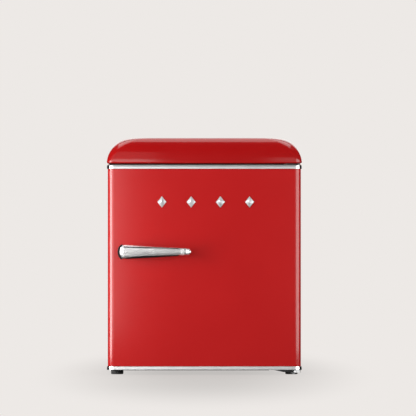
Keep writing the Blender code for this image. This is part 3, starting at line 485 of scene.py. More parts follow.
def swept(route, section, mesh=None):
    """Carry a closed section of (outward, height) pairs along a route."""
    rings = [[Vector((x + nx * out, y + ny * out, z)) for out, z in section] for x, y, nx, ny in route]
    return loft(rings, mesh)


def build_door_skin():
    """Pressed outer sheet with a rolled hem at its rear edges."""
    low, high = DOOR_LOW[2] - STRIP_SHORT, DOOR_HIGH[2]
    thin, soft = 0.001, 0.0005
    section = [(-thin, low), (-soft, low), (0.0, low + soft)]
    section += [(0.0, high - soft), (-soft, high), (-thin, high)]
    back = DOOR_HIGH[1] - 0.0006
    mesh = swept(door_route(0.0, back), section)
    for sign in (-1, 1):
        x_low, x_high = sorted((sign * 0.2168, sign * 0.2236))
        block((x_low, back - 0.0011, low), (x_high, back - 0.0001, high), 0.0004, 1, mesh)
    piece("door_shell", mesh, "door", "red_enamel", ["door_skin"])


def strip_section(low, high):
    """A faintly crowned face, leaning back towards its top, between two small rounded edges."""
    inner, edge, sharp = -0.0009, 0.0006, 0.0003
    foot, head, crest = 0.0010, 0.0004, 0.0002
    section = [(inner, low)]
    for t in quarter(5):
        section.append((foot - sharp * (1 - sin(t)), low + sharp * (1 - cos(t))))
    for i in range(1, 10):
        share = i / 10
        out = foot + (head - foot) * share + crest * sin(pi * share)
        section.append((out, low + sharp + (high - low - edge - sharp) * share))
    for t in quarter(5):
        section.append((head - edge * (1 - cos(t)), high - edge * (1 - sin(t))))
    section.append((inner, high))
    return section


def build_trim():
    """Chrome strips across the front, each with a black tail round either side of the door."""
    route = door_route(0.0, DOOR_HIGH[1])
    turn = next(i for i, station in enumerate(route) if station[3] <= STRIP_END)
    last = len(route) - 1 - turn
    for end, short in (("bottom", STRIP_SHORT), ("top", 0.0)):
        node = f"trim_strip_{end}"
        low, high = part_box(node)
        section = strip_section(low[2], high[2] - short)
        piece(f"chrome_strip_{end}", swept(route[turn:last + 1], section), "door", "chrome", [node])
        proud = [section[0]] + [(out + TAIL_PROUD, z) for out, z in section[1:-1]] + [section[-1]]
        tails = swept(route[:turn + 1], proud)
        swept(route[last:], proud, tails)
        piece(f"black_strip_{end}_tails", tails, "door", "black_plastic")


def build_painted_shadow_lip():
    """Black lip just under the lower strip, left of the lower hinge: a painted shadow line beneath the strip.
    """
    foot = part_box("trim_strip_bottom")[0][2]
    front = DOOR_LOW[1]
    lip = block((-0.2075, front + 0.0006, foot - 0.0009), (0.150, front + 0.0040, foot + 0.0003), 0.0003, 2)
    piece("door_painted_shadow_lip", lip, "door", "black_plastic")


def build_door_inside():
    """Liner with a flat rim and a raised wall, rounded over and set back in its middle."""
    low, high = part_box("door_liner")
    back, rim, soft = LINER_PLATE, high[1], LINER_CROWN
    plate = front_of(low, high)
    wall = (-0.184, 0.070), (0.184, 0.436)
    levels = [(*plate, 0.010, low[1]), (*plate, 0.010, back - 0.0006)]
    levels += [(*grown(*plate, -0.0006), 0.0095, back), (*grown(*wall, 0.0025), 0.018, back)]
    levels.append((*grown(*wall, 0.0008), 0.0165, back + 0.0009))
    for i, t in enumerate(quarter(5)):
        amount = -0.0028 - soft * (1 - cos(t)) + 0.0008 * (1 - i / 5)
        levels.append((*grown(*wall, amount), 0.014, rim - soft + soft * sin(t)))
    for t in quarter(5, 1):
        amount = -0.0072 - 0.0020 * sin(t)
        levels.append((*grown(*wall, amount), 0.010, rim - soft * (1 - cos(t))))
    levels += [(*grown(*wall, -0.0106), 0.0085, back + 0.0016), (*grown(*wall, -0.0122), 0.007, back)]
    mesh = loft([at_y(rounded(a, b, r), y) for a, b, r, y in levels])
    piece("door_inner_face", mesh, "door", "white_plastic", ["door_liner"])


def build_seal():
    """Soft magnetic seal: a flat foot, a bellows waist and a rounded closing face."""
    low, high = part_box("door_gasket")
    outer = front_of(low, high)
    profile = [(0.0, 0.0), (0.0, 0.10), (0.0018, 0.18), (0.0022, 0.34), (0.0004, 0.46), (0.0, 0.60),
               (0.0, 0.80), (0.0008, 0.95), (0.0024, 1.0), (0.0085, 1.0), (0.0105, 0.95), (0.0115, 0.78),
               (0.0112, 0.60), (0.0094, 0.40), (0.0094, 0.20), (0.0118, 0.10), (0.0118, 0.0)]
    rings = []
    for inset, share in profile:
        corner = max(0.009 - inset * 0.5, 0.003)
        rings.append(at_y(rounded(*grown(*outer, -inset), corner, 6), low[1] + (high[1] - low[1]) * share))
    piece("door_seal", ring_body(rings), "door", "white_rubber", ["door_gasket"])


def build_bins():
    """Clear door shelves with a thick rolled rim and a lower front."""
    wall, floor, radius = 0.0019, 0.0024, 0.010
    for end in ("lower", "upper"):
        low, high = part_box(f"door_bin_{end}")
        top = high[2] - low[2]
        levels = [(0.0030, 0.0), (0.0009, 0.0008), (0.0002, 0.0025), (0.0006, top - 0.006),
                  (0.0, top - 0.0050), (0.0, top - 0.0010), (0.0007, top), (wall + 0.0002, top),
                  (wall + 0.0010, top - 0.0010), (wall + 0.0008, floor + 0.004),
                  (wall + 0.0020, floor + 0.001), (wall + 0.0045, floor)]
        rings = [at_z(rounded(*grown(low, high, -inset), max(radius - inset * 0.7, 0.004)), low[2] + z)
                 for inset, z in levels]
        piece(f"door_shelf_{end}", loft(rings), "door", "clear_plastic", [f"door_bin_{end}"])


# ---------------- handle and ornaments
class HandleShape:
    """Outline of the tapered bar: tall and bowed at its free end, slim at its ball tip."""
    big, small = 0.0170, 0.0078
    bulge = 0.0229
    face_drop = 0.0030

    def __init__(self):
        low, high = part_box("handle_bar")
        self.left, self.length = low[0] - 0.0005, high[0] - low[0] + 0.0005
        self.front, self.back = low[1], high[1]
        self.middle = (low[2] + high[2]) / 2

    def half_height(self, share):
        return self.big + (self.small - self.big) * share ** 1.12

    def face_foot(self, share):
        """Lower edge of the bright face, as a share of the half height."""
        if share < 0.40:
            return -0.97 + 0.31 * sin(pi / 2 * share / 0.40)
        return -0.66 - 0.10 * (share - 0.40) / 0.60

    def face_top(self, share):
        """Lower edge of the sloping top, as a share of the half height."""
        return 0.765 + 0.17 * share ** 1.5

    def bar_section(self, share, sink):
        """A sloping top, a small step under it, the flat face and steep lower flank, then the back."""
        deep = self.front + sink + self.face_drop * share
        foot = self.face_foot(share)
        top = self.face_top(share)
        section = [(0.985, deep + 0.0060), (1.0, deep + 0.0050), (0.985, deep + 0.0040),
                   (top + 0.05, deep + 0.0003), (top + 0.025, deep), (top, deep + 0.0003),
                   (top - 0.055, deep + 0.0024), (top - 0.090, deep + 0.0030), (top - 0.125, deep + 0.0020),
                   (top - 0.150, deep + 0.0018)]
        section += [(top - 0.150 + (foot + 0.190 - top) * i / 6,
                     deep + 0.0018 - 0.0004 * sin(pi * i / 6)) for i in range(1, 6)]
        section += [(foot + 0.04, deep + 0.0018), (foot, deep + 0.0024), (-0.96, deep + 0.0062)]
        section += [(-1.0, self.back - 0.0065), (-0.985, self.back - 0.004), (-0.86, self.back - 0.0012),
                    (-0.62, self.back), (0.62, self.back), (0.86, self.back - 0.0012),
                    (0.985, self.back - 0.004), (1.0, self.back - 0.0065)]
        return section

    def shade_line_section(self, share):
        """Black line in the step between the sloping top and the face: painted shade in the crease."""
        deep = self.front + self.face_drop * share
        top = self.face_top(share)
        return [(top - 0.012, deep + 0.0008), (top - 0.040, deep + 0.0011), (top - 0.130, deep + 0.0012),
                (top - 0.155, deep + 0.0016), (top - 0.155, deep + 0.0028), (top - 0.012, deep + 0.0028)]

    def dark_flank_section(self, share):
        """Black strip that covers the lower flank: a painted dark reflection."""
        deep = self.front + self.face_drop * share
        foot = self.face_foot(share)
        return [(foot + 0.015, deep + 0.0022), (foot - 0.02, deep + 0.0022), (-0.965, deep + 0.0048),
                (-1.005, deep + 0.0066), (-1.005, deep + 0.0078), (-0.93, deep + 0.0078),
                (foot + 0.015, deep + 0.0040)]

    def ring(self, x, section, curl, shrink=0.0):
        """The section at a distance x from the free end, bent to an arc by the curl."""
        half = self.half_height(x / self.length) - shrink
        ring = []
        for share, y in section:
            rise = share * half
            bow = self.bulge - sqrt(max(self.bulge ** 2 - rise ** 2, 0.0))
            ring.append(Vector((self.left + x + bow * curl, y, self.middle + rise)))
        return ring


RIM = 0.0047                     # black rim at the handle's free end: a painted dark reflection of its end face
COLLAR = 0.0125                  # groove behind the bright end of the bar
NECK = 0.0250                    # ringed neck and ball at the tip
BALL = 0.0088                    # the ball alone
BALL_LEAN = -0.22                # slope of the ball's flat front, which faces a little to the free end


def handle_stations(shape):
    """Distance from the free end, curl, shrink and sink of each section up to the ball."""
    neck = shape.length - NECK
    stations = [(RIM, 1.0, 0.0010, 0.0022), (RIM + 0.0010, 1.0, 0.0004, 0.0009), (0.0085, 1.0, 0.0, 0.0002),
                (COLLAR - 0.0008, 1.0, 0.0, 0.0), (COLLAR - 0.0005, 1.0, 0.0005, 0.0007),
                (COLLAR + 0.0003, 1.0, 0.0005, 0.0007), (COLLAR + 0.0006, 1.0, 0.0, 0.0)]
    for i in range(1, 33):
        x = COLLAR + 0.0006 + (neck - COLLAR) * i / 32
        stations.append((x, 1.0 - (x - COLLAR) / (shape.length - COLLAR), 0.0, 0.0))
    for start in (0.0012, 0.0052):
        for step, depth in ((0.0, 0.0), (0.0006, 0.0008), (0.0020, 0.0008), (0.0026, 0.0)):
            stations.append((neck + start + step, 0.12, depth, depth))
    ball = shape.length - BALL
    stations += [(ball - 0.0021, 0.12, 0.0, 0.0), (ball - 0.0014, 0.12, 0.0007, 0.0007),
                 (ball - 0.0006, 0.12, 0.0007, 0.0007)]
    return stations


def squared(value, power):
    """Keep the sign and raise the size to a power, which squares up a round outline."""
    return copysign(abs(value) ** power, value)


def ball_rings(shape):
    """The tip: a thick rounded disc whose flat front is turned a little towards the free end."""
    steps = 14
    face = shape.front + shape.face_drop
    centre_y = (face + shape.back) / 2
    half_y = (shape.back - shape.front - shape.face_drop) / 2
    radius = shape.small * 0.94
    hub = shape.left + shape.length - radius
    points = len(shape.bar_section(1.0, 0.0))
    spread = [tau * (i + 0.5) / points for i in range(points)]
    rings = []
    for i in range(steps):
        turn = radians(-32 + 122 * i / (steps - 1))
        x = hub + radius * sin(turn)
        tall = radius * max(cos(turn), 0.03)
        deep = half_y * max(cos(turn), 0.03) ** 0.25
        rings.append([Vector((x, centre_y + BALL_LEAN * (x - hub) - deep * squared(sin(a), 0.3),
                              shape.middle + tall * squared(cos(a), 0.8))) for a in spread])
    return rings


def build_handle():
    """Chrome bar with a black rim at its free end and black lines above and below its face: painted dark
    reflections and shade.
    """
    shape = HandleShape()
    stations = handle_stations(shape)
    rings = [shape.ring(x, shape.bar_section(x / shape.length, sink), curl, shrink)
             for x, curl, shrink, sink in stations]
    piece("handle_chrome_bar", loft(rings + ball_rings(shape)), "door", "chrome", ["handle_bar"],
          material=HANDLE_CHROME)
    levels = ((0.0, 0.0014, 0.0030), (0.0003, 0.0003, 0.0012), (0.0010, -0.0003, 0.0002),
              (RIM - 0.0006, -0.0004, 0.0), (RIM, -0.0001, 0.0006), (RIM + 0.0003, 0.0004, 0.0016))
    rim = [shape.ring(x, shape.bar_section(x / shape.length, sink), 1.0, shrink)
           for x, shrink, sink in levels]
    piece("handle_painted_dark_rim", loft(rim), "door", "black_plastic")
    plain = [station[:2] for station in stations if COLLAR + 0.0005 < station[0] < shape.length - NECK]
    for name, section in (("handle_painted_dark_flank", shape.dark_flank_section),
                          ("handle_painted_shade_line", shape.shade_line_section)):
        rings = [shape.ring(x, section(x / shape.length), curl) for x, curl in plain]
        piece(name, loft(rings), "door", "black_plastic")


def build_handle_posts():
    """Short chrome pillars on black seats between the bar and the door."""
    for side in ("left", "right"):
        low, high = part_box(f"handle_base_{side}")
        x, z = middle(low, high, 0, 2)
        half_x, half_z = (high[0] - low[0]) / 2, (high[2] - low[2]) / 2
        seat, head = high[1], low[1]
        for label, slot, replaces, levels in (
                ("seat", "black_plastic", (), ((1.0, seat), (1.0, seat - 0.0012), (0.94, seat - 0.002),
                                               (0.82, seat - 0.0024))),
                ("post", "chrome", [f"handle_base_{side}"],
                 ((0.80, seat - 0.0026), (0.76, seat - 0.0045), (0.70, seat - 0.009),
                  (0.70, head + 0.006), (0.76, head + 0.0025), (0.80, head)))):
            rings = [at_y(rounded((x - half_x * k, z - half_z * k), (x + half_x * k, z + half_z * k),
                                  min(half_x, half_z) * k * 0.95, 10), y) for k, y in levels]
            piece(f"handle_{label}_{side}", loft(rings), "door", slot, replaces)


def build_ornaments():
    """Plain faceted lozenges in a row: a bevelled rim and four flat slopes to a small crest."""
    for number in range(1, 5):
        node = f"ornament_{number}"
        low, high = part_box(node)
        x, z = middle(low, high, 0, 2)
        half_x, half_z = (high[0] - low[0]) / 2, (high[2] - low[2]) / 2
        tip, back = low[1], high[1]
        rings = []
        for k, y in ((1.0, back), (1.0, back - 0.0008), (0.95, back - 0.0013), (0.80, back - 0.0014),
                     (0.76, back - 0.0012), (0.70, back - 0.0013), (0.10, tip + 0.0001), (0.04, tip)):
            ring = []
            for corner in range(4):
                a, b = pi / 2 * corner, pi / 2 * (corner + 1)
                for t in (0.03, 0.97):
                    u = cos(a) * (1 - t) + cos(b) * t
                    v = sin(a) * (1 - t) + sin(b) * t
                    ring.append(Vector((x + half_x * k * u, y, z + half_z * k * v)))
            rings.append(ring)
        piece(f"chrome_lozenge_{number}", loft(rings), "door", "chrome", [node], weighted=False)


# ---------------- cabinet outside
def build_side_panels():
    """Enamelled sheets with softly rounded edges."""
    for side in ("left", "right"):
        mesh = block(*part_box(f"side_panel_{side}"), 0.0005, 3)
        piece(f"side_sheet_{side}", mesh, "cabinet", "red_enamel", [f"side_panel_{side}"])


def build_back_panel():
    """Zinc sheet with pressed stiffening ribs and its screws."""
    low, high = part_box("back_panel")
    outer = high[1]
    mesh = block(low, high, 0.0003, 2)
    for i in range(5):
        x = -0.16 + i * 0.08
        rings = []
        for k, rise in ((1.0, -0.0002), (0.86, 0.0005), (0.55, 0.0009), (0.2, 0.0010)):
            outline = rounded((x - 0.006 * k, 0.215), (x + 0.006 * k, 0.455), 0.0059 * k, 6)
            rings.append(at_y(outline, outer + rise))
        loft(rings, mesh)
    piece("rear_sheet", mesh, "cabinet", "zinc_steel", ["back_panel"])
    screws = bmesh.new()
    spots = [(x, z) for x in (-0.212, -0.07, 0.07, 0.212) for z in (0.176, 0.478)]
    spots += [(x, z) for z in (0.26, 0.36) for x in (-0.212, 0.212)]
    for x, z in spots:
        screw_head(screws, (x, outer + 0.0001, z), (0, 1, 0), 0.0042, 0.0022)
    piece("rear_sheet_screws", screws, "cabinet", "zinc_steel")


def build_lower_hinge():
    """Plate with a flange that tapers off to the left, its nut, a stop tab and screws."""
    low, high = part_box("lower_hinge_bracket")
    front = low[1]
    inner = 0.184                # left edge of the plate
    web = 0.0112                 # height where the plate's lower half meets its upper half
    flange = 0.0062              # lowest edge of the front flange
    mesh = bmesh.new()
    block((inner, front, low[2]), (high[0], -0.0905, web), 0.0006, 2, mesh)
    block((inner, -0.1458, web), (high[0], front + 0.1018, high[2]), 0.0006, 2, mesh)
    wedge = [(low[0], web), (high[0] - 0.0006, web), (high[0] - 0.0006, flange + 0.0008),
             (high[0] - 0.0014, flange), (inner, flange), (inner - 0.012, 0.0090)]
    loft([at_y(wedge, front + 0.0001), at_y(wedge, front + 0.0026)], mesh)
    ear = [(low[0], web), (inner + 0.002, web), (inner + 0.002, low[2]), (inner, low[2])]
    loft([at_y(ear, front + 0.002), at_y(ear, -0.147)], mesh)
    piece("lower_hinge_plate", mesh, "cabinet", "black_steel", ["lower_hinge_bracket"])
    nut_low, nut_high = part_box("lower_hinge_nut")
    centre = middle(nut_low, nut_high)
    bottom, top = nut_low[2], nut_high[2]
    hexagon = [(0.0055, bottom), (0.0068, bottom + 0.0003), (0.0074, bottom + 0.001), (0.0074, top - 0.0012)]
    nut = turned(hexagon, 6, centre)
    turned([(0.0085, top - 0.0011), (0.0088, top - 0.0008), (0.0088, top)], 40, centre, nut)
    turned([(0.0032, bottom - 0.0012), (0.0038, bottom - 0.0006), (0.0038, bottom)], 32, centre, nut)
    piece("lower_hinge_nut_and_washer", nut, "cabinet", "zinc_steel", ["lower_hinge_nut"])
    ends = [at_x(rounded((front + near, 0.0048), (front + 0.0016, 0.0108), 0.0005, 3), x)
            for x, near in ((0.2075, -0.0030), (0.2228, 0.0004))]
    piece("lower_hinge_stop_tab", loft(ends), "cabinet", "chrome")
    screws = bmesh.new()
    for x, y in ((0.2175, -0.1865), (0.2165, -0.100), (0.1905, -0.100)):
        screw_head(screws, (x, y, low[2] - 0.0001), (0, 0, -1), 0.0042, 0.0030)
    piece("lower_hinge_screws", screws, "cabinet", "zinc_steel")


def build_upper_hinge():
    low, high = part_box("upper_hinge_bracket")
    plate = rounded(low, high, 0.006)
    rings = [at_z(plate, low[2]), at_z(plate, high[2] - 0.0004),
             at_z(rounded(*grown(low, high, -0.0004), 0.0056), high[2])]
    piece("upper_hinge_plate", loft(rings), "cabinet", "black_steel", ["upper_hinge_bracket"])


def foot_profile(radius, top):
    """A moulded pad: rounded tread, a shallow ring groove and a flat shoulder."""
    shape = [(0.84, 0.0), (0.90, 0.0002), (0.94, 0.0010), (0.965, top * 0.30), (0.975, top * 0.55),
             (0.950, top * 0.58), (0.950, top * 0.64), (1.0, top * 0.67), (1.0, top - 0.0010), (0.97, top)]
    return [(radius * share, z) for share, z in shape]


FOOT_TOPS = {"foot_front_left": 0.0138, "foot_front_right": 0.0077}
THREAD_PITCH = 0.00125


def build_feet():
    """Rubber pads all round, with threaded studs over the two at the front."""
    for name, body in (("foot_front_left", "foot_left"), ("foot_front_right", "foot_right"),
                       ("rear_foot_left", "cabinet"), ("rear_foot_right", "cabinet")):
        low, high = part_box(name)
        centre = middle(low, high)
        top = FOOT_TOPS.get(name, high[2])
        mesh = turned(foot_profile((high[0] - low[0]) / 2, top), 56, centre)
        piece(name.replace("foot", "foot_pad"), mesh, body, "grey_rubber", [name])
        if name in FOOT_TOPS:
            tall = high[2] - top
            turns = int(tall / THREAD_PITCH * 2)
            thread = [(0.0040 if i % 2 else 0.0034, top + tall * i / turns) for i in range(turns + 1)]
            piece(name.replace("foot", "foot_stud"), turned(thread, 32, centre), body, "zinc_steel")


# ---------------- cold compartment
def build_liner():
    """Thin moulded inner shell with rounded corners, the step over the compressor and its ledges."""
    low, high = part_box("cabinet_liner")
    front = low[1]
    flange = (low[0] + 0.0003, low[2]), (high[0] - 0.0003, high[2])
    half, floor, ceiling = 0.1897, 0.0643, 0.4417
    step_front, step_top, rear = 0.0327, 0.2073, 0.1817
    mouth = (-half, floor), (half, ceiling)
    upper = (-half, step_top), (half, ceiling)
    radius, lead, bend, cove = 0.012, 0.004, 0.006, 0.008
    levels = [(*grown(*flange, -0.0004), 0.003, front + 0.0014), (*flange, 0.003, front + 0.0006),
              (*grown(*flange, -0.0006), 0.003, front)]
    for t in quarter(6):
        flare = lead * (1 - sin(t))
        levels.append((*grown(*mouth, flare), radius + flare, front + lead * (1 - cos(t))))
    levels += [(*mouth, radius, 0.0), (*mouth, radius, step_front - bend)]
    levels += [(*mouth, radius, step_front - bend + bend * sin(t)) for t in quarter(4, 1)]
    levels += [(*upper, radius, step_front), (*upper, radius, 0.10), (*upper, radius, rear - cove)]
    for t in quarter(5, 1):
        levels.append((*grown(*upper, -cove * (1 - cos(t))), radius, rear - cove + cove * sin(t)))
    mesh = loft([at_y(rounded(a, b, r, 6), y) for a, b, r, y in levels], caps=False)
    edge = [v for v in mesh.verts if abs(v.co.y - rear) < 1e-5]
    bmesh.ops.contextual_create(mesh, geom=edge)
    liner = piece("inner_shell", mesh, "cabinet", "white_plastic", ["cabinet_liner"], weighted=False)
    thick = liner.modifiers.new("Wall", "SOLIDIFY")
    thick.thickness = 0.0012
    thick.offset = 1.0
    weigh(liner)
    ledges = bmesh.new()
    for sign in (-1, 1):
        for inner_x, y_low, z_low, y_high, z_high in ((0.178, -0.070, 0.334, 0.150, 0.3377),
                                                     (0.180, -0.060, 0.202, 0.0325, 0.2073)):
            x_low, x_high = sorted((sign * inner_x, sign * 0.1900))
            block((x_low, y_low, z_low), (x_high, y_high, z_high), 0.0012, 3, ledges)
    piece("inner_shell_ledges", ledges, "cabinet", "white_plastic")


def build_ice_box():
    """Aluminium box with ribs on its floor, and the pale frame round its mouth."""
    low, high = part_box("evaporator")
    outer = front_of(low, high)
    wall, radius = 0.002, 0.008
    rings = [at_y(rounded(*grown(*outer, -inset), radius - inset, 8), y) for inset, y in (
        (0.0, high[1]), (0.0, low[1] + 0.0006), (0.0006, low[1]), (wall - 0.0006, low[1]),
        (wall, low[1] + 0.0006), (wall, high[1] - wall))]
    mesh = loft(rings)
    floor = low[2] + wall
    for i in range(7):
        x = -0.15 + i * 0.05
        block((x - 0.003, low[1] + 0.012, floor - 0.0002), (x + 0.003, high[1] - 0.012, floor + 0.0009),
              0.0005, 2, mesh)
    piece("ice_box_shell", mesh, "cabinet", "aluminium", ["evaporator"])
    low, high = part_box("ice_box_frame")
    outer = front_of(low, high)
    inner = (-0.171, 0.3505), (0.171, high[2] - 0.0035)
    edge = 0.0012
    rings = [at_y(rounded(*grown(*shape, amount), corner, 6), y) for shape, amount, corner, y in (
        (outer, 0.0, 0.004, high[1]), (outer, 0.0, 0.004, low[1] + edge), (outer, -edge, 0.003, low[1]),
        (inner, edge, 0.004, low[1]), (inner, 0.0, 0.003, low[1] + edge), (inner, 0.0, 0.003, high[1]))]
    piece("ice_box_rim", ring_body(rings), "cabinet", "white_plastic", ["ice_box_frame"])


def build_ice_flap():
    """Pale flap with a framed panel, a finger ledge and two pivots."""
    low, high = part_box("ice_flap")
    front = -0.0445
    pivot = (-0.043, 0.431)
    mesh = block((-0.1695, front, low[2]), (0.1695, high[1], 0.4335), 0.0012, 3)
    panel = (-0.155, low[2] + 0.014), (0.155, 0.4225)
    rings = [at_y(rounded(*grown(*panel, -inset), 0.008 - inset, 6), front + out) for inset, out in (
        (0.0, 0.0003), (0.0010, -0.0008), (0.0026, -0.0008), (0.0034, 0.0002))]
    ring_body(rings, mesh)
    block((-0.035, low[1], 0.3545), (0.035, front + 0.0005, 0.3575), 0.0010, 3, mesh)
    for sign in (-1, 1):
        ends = sorted((sign * 0.169, sign * 0.1742))
        loft([at_x(circle(0.0019, 24, pivot), x) for x in ends], mesh)
    piece("ice_box_flap", mesh, "ice_flap", "white_plastic", ["ice_flap"])


def build_drip_tray():
    """Shallow clear tray that hangs by its rim, with a finger lip in front."""
    low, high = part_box("drip_tray")
    bottom, top = low[2], high[2]
    front, rear = low[1], high[1]
    body_half, lip_half = 0.170, high[0]
    wall = 0.0018
    lip = top - wall
    inside = body_half - wall
    levels = [(body_half - 0.002, 0.002, bottom, 0.006),
              (body_half - 0.0004, 0.0004, bottom + 0.0010, 0.006),
              (body_half, 0.0, bottom + 0.0030, 0.006), (body_half, 0.0, lip, 0.006),
              (lip_half, 0.0, lip, 0.006), (lip_half, 0.0, top - 0.0005, 0.006),
              (lip_half - 0.0005, 0.0005, top, 0.0055), (inside + 0.0006, wall - 0.0006, top, 0.0052),
              (inside, wall, top - 0.0006, 0.0046), (inside, wall, bottom + wall + 0.003, 0.0046),
              (inside - 0.0022, wall + 0.0022, bottom + wall, 0.004)]
    rings = [at_z(rounded((-half, front + inset), (half, rear - inset), radius, 6), z)
             for half, inset, z, radius in levels]
    mesh = loft(rings)
    block((-0.040, front - 0.0006, top - 0.010), (0.040, front + 0.0012, top - 0.001), 0.0006, 2, mesh)
    piece("meltwater_tray", mesh, "drip_tray", "clear_plastic", ["drip_tray"])


def build_shelf():
    """Glass plate and the moulded rail along its front edge."""
    plate = block(*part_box("glass_shelf"), 0.0012, 3)
    piece("shelf_glass_plate", plate, "cabinet", "clear_glass", ["glass_shelf"])
    low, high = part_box("shelf_trim")
    mesh = block(low, (high[0], high[1], high[2] - 0.0008), 0.0018, 4)
    front, rear, top = low[1] + 0.0004, high[1] - 0.0004, high[2]
    for sign in (-1, 1):
        left, right = sorted((sign * (high[0] - 0.0002), sign * (high[0] - 0.022)))
        block((left, front, top - 0.0016), (right, rear, top), 0.0006, 2, mesh)
    piece("shelf_front_rail", mesh, "cabinet", "white_plastic", ["shelf_trim"])


FLUTES = 24                      # grip flutes round the control knob
SCALE_RADIUS = 0.0225            # radius of the ring of dots round it


def build_thermostat():
    """Control box with cooling slots, a fluted knob and dots that grow with the setting."""
    low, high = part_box("thermostat_housing")
    mesh = block(low, high, 0.0045, 5)
    x, y = low[0], high[1]
    for i in range(6):
        z = low[2] + 0.010 + i * 0.0062
        block((x - 0.0003, y - 0.020, z), (x + 0.002, y - 0.006, z + 0.0022), 0.0005, 2, mesh)
    piece("control_box", mesh, "cabinet", "white_plastic", ["thermostat_housing"])
    low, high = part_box("thermostat_knob")
    hub_y, hub_z = middle(low, high, 1, 2)
    base, radius = high[0], (high[1] - low[1]) / 2
    rings = []
    for k, rise, flute in ((0.98, 0.0, 0.0), (1.0, 0.0006, 0.0), (1.0, 0.0026, 0.0), (0.90, 0.0032, 0.03),
                           (0.84, 0.0105, 0.04), (0.78, 0.0122, 0.02), (0.60, 0.0126, 0.0)):
        ring = []
        for a in full_turn(4 * FLUTES):
            reach = radius * k * (1 - flute * (0.5 + 0.5 * cos(a * FLUTES)))
            ring.append(Vector((base - rise, hub_y + reach * cos(a), hub_z + reach * sin(a))))
        rings.append(ring)
    mesh = loft(rings)
    wide, tall = 0.0020, 0.0125
    block((low[0], hub_y - wide, hub_z - tall), (base - 0.008, hub_y + wide, hub_z + tall), 0.0009, 3, mesh)
    piece("control_knob", mesh, "thermostat_knob", "white_plastic", ["thermostat_knob"])
    marks = bmesh.new()
    for i in range(7):
        a = radians(-45 + 45 * i)
        spot = (hub_y + SCALE_RADIUS * cos(a), hub_z + SCALE_RADIUS * sin(a))
        dot = circle(0.0008 + 0.0001 * i, 16, spot)
        loft([at_x(dot, base + 0.0004), at_x(dot, base)], marks)
    piece("control_scale_dots", marks, "cabinet", "black_plastic")


# ---------------- cooling circuit
def build_compressor():
    """Two pressed shells that meet at a welded rim."""
    low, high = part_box("compressor")
    centre = middle(low, high)
    rim = 1.035                  # the welded rim's size, as a share of the can
    half_x, half_y = (high[0] - low[0]) / 2 / rim, (high[1] - low[1]) / 2 / rim
    base, seam, top = low[2], 0.082, high[2]
    profile = [(0.45 + 0.55 * sin(t), base + (seam - 0.024 - base) * (1 - cos(t)) ** 1.3)
               for t in quarter(12, 1)]
    profile += [(1.0, seam), (1.030, seam), (rim, seam + 0.0006), (rim, seam + 0.0034),
                (1.030, seam + 0.004), (0.995, seam + 0.004)]
    for t in quarter(14, 1):
        z = seam + 0.020 + (top - seam - 0.020) * sin(t)
        profile.append((0.995 * max(cos(t), 0.0) ** 0.62 + 0.004, z))
    rings = [[Vector((centre[0] + half_x * k * cos(a), centre[1] + half_y * k * sin(a), z))
              for a in full_turn(64)] for k, z in profile]
    piece("compressor_can", loft(rings), "cabinet", "black_steel", ["compressor"])
    build_compressor_legs(centre)
    build_starter()


def build_compressor_legs(centre):
    """Plate with washers and nuts, on four rubber mounts."""
    low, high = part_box("compressor_mount")
    top = high[2]
    mesh = loft([at_z(rounded(*grown(low, high, -inset), 0.010 - inset, 8), z) for inset, z in (
        (0.0006, low[2]), (0.0, low[2] + 0.0006), (0.0, top - 0.0006), (0.0006, top))])
    for side in (-1, 1):
        for end in (-1, 1):
            spot = (centre[0] + side * 0.066, centre[1] + end * 0.046)
            turned([(0.0085, top - 0.0002), (0.0088, top + 0.0008), (0.0080, top + 0.0012)], 32, spot, mesh)
            turned([(0.0052, top + 0.0010), (0.0052, top + 0.0045), (0.0044, top + 0.0052)], 6, spot, mesh)
    piece("compressor_legs", mesh, "cabinet", "black_steel", ["compressor_mount"])
    profile = [(0.0086, 0.0), (0.0094, 0.05), (0.0094, 0.28), (0.0086, 0.36), (0.0070, 0.46), (0.0068, 0.60),
               (0.0076, 0.72), (0.0084, 0.82), (0.0084, 0.95), (0.0078, 1.0)]
    for number in range(1, 5):
        low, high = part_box(f"compressor_grommet_{number}")
        tall = high[2] - low[2]
        mesh = turned([(r, low[2] + tall * k) for r, k in profile], 40, middle(low, high))
        piece(f"compressor_rubber_mount_{number}", mesh, "cabinet", "grey_rubber",
              [f"compressor_grommet_{number}"])


def build_starter():
    """Ribbed cover of the starter with its spring clip, and the gland where the cord enters."""
    low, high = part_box("terminal_cover")
    mesh = block(low, high, 0.004, 5)
    front, rear = low[1] + 0.008, high[1] - 0.008
    for z in (0.062, 0.070, 0.090, 0.098):
        block((low[0] - 0.0004, front, z), (low[0] + 0.002, rear, z + 0.003), 0.0006, 2, mesh)
    piece("starter_cover", mesh, "cabinet", "black_plastic", ["terminal_cover"])
    clip = bmesh.new()
    x, y, top = low[0] - 0.0016, (low[1] + high[1]) / 2, high[2] + 0.0015
    half = 0.003
    block((x, y - half, low[2] - 0.0015), (low[0] - 0.0004, y + half, top), 0.0004, 2, clip)
    block((x, y - half, high[2] + 0.0004), (high[0] - 0.004, y + half, top), 0.0004, 2, clip)
    piece("starter_cover_clip", clip, "cabinet", "zinc_steel")
    low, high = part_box("cord_gland")
    hub = middle(low, high, 0, 2)
    rings = [at_y(circle(r, 32, hub), low[1] + y) for r, y in (
        (0.0075, 0.0), (0.0075, 0.0018), (0.0066, 0.0024), (0.0064, 0.0082), (0.0058, 0.0090),
        (0.0042, 0.0090), (0.0036, 0.0084), (0.0036, 0.0))]
    piece("cord_entry_gland", ring_body(rings), "cabinet", "black_plastic", ["cord_gland"])


COIL_TUBE = 0.0027               # radius of the condenser's tube
WIRE = 0.00075                   # and of the wires across it
WIRES = 41
PASSES, PITCH, FIRST_PASS = 9, 0.034, 0.200
RAIL_WALL = 0.0015


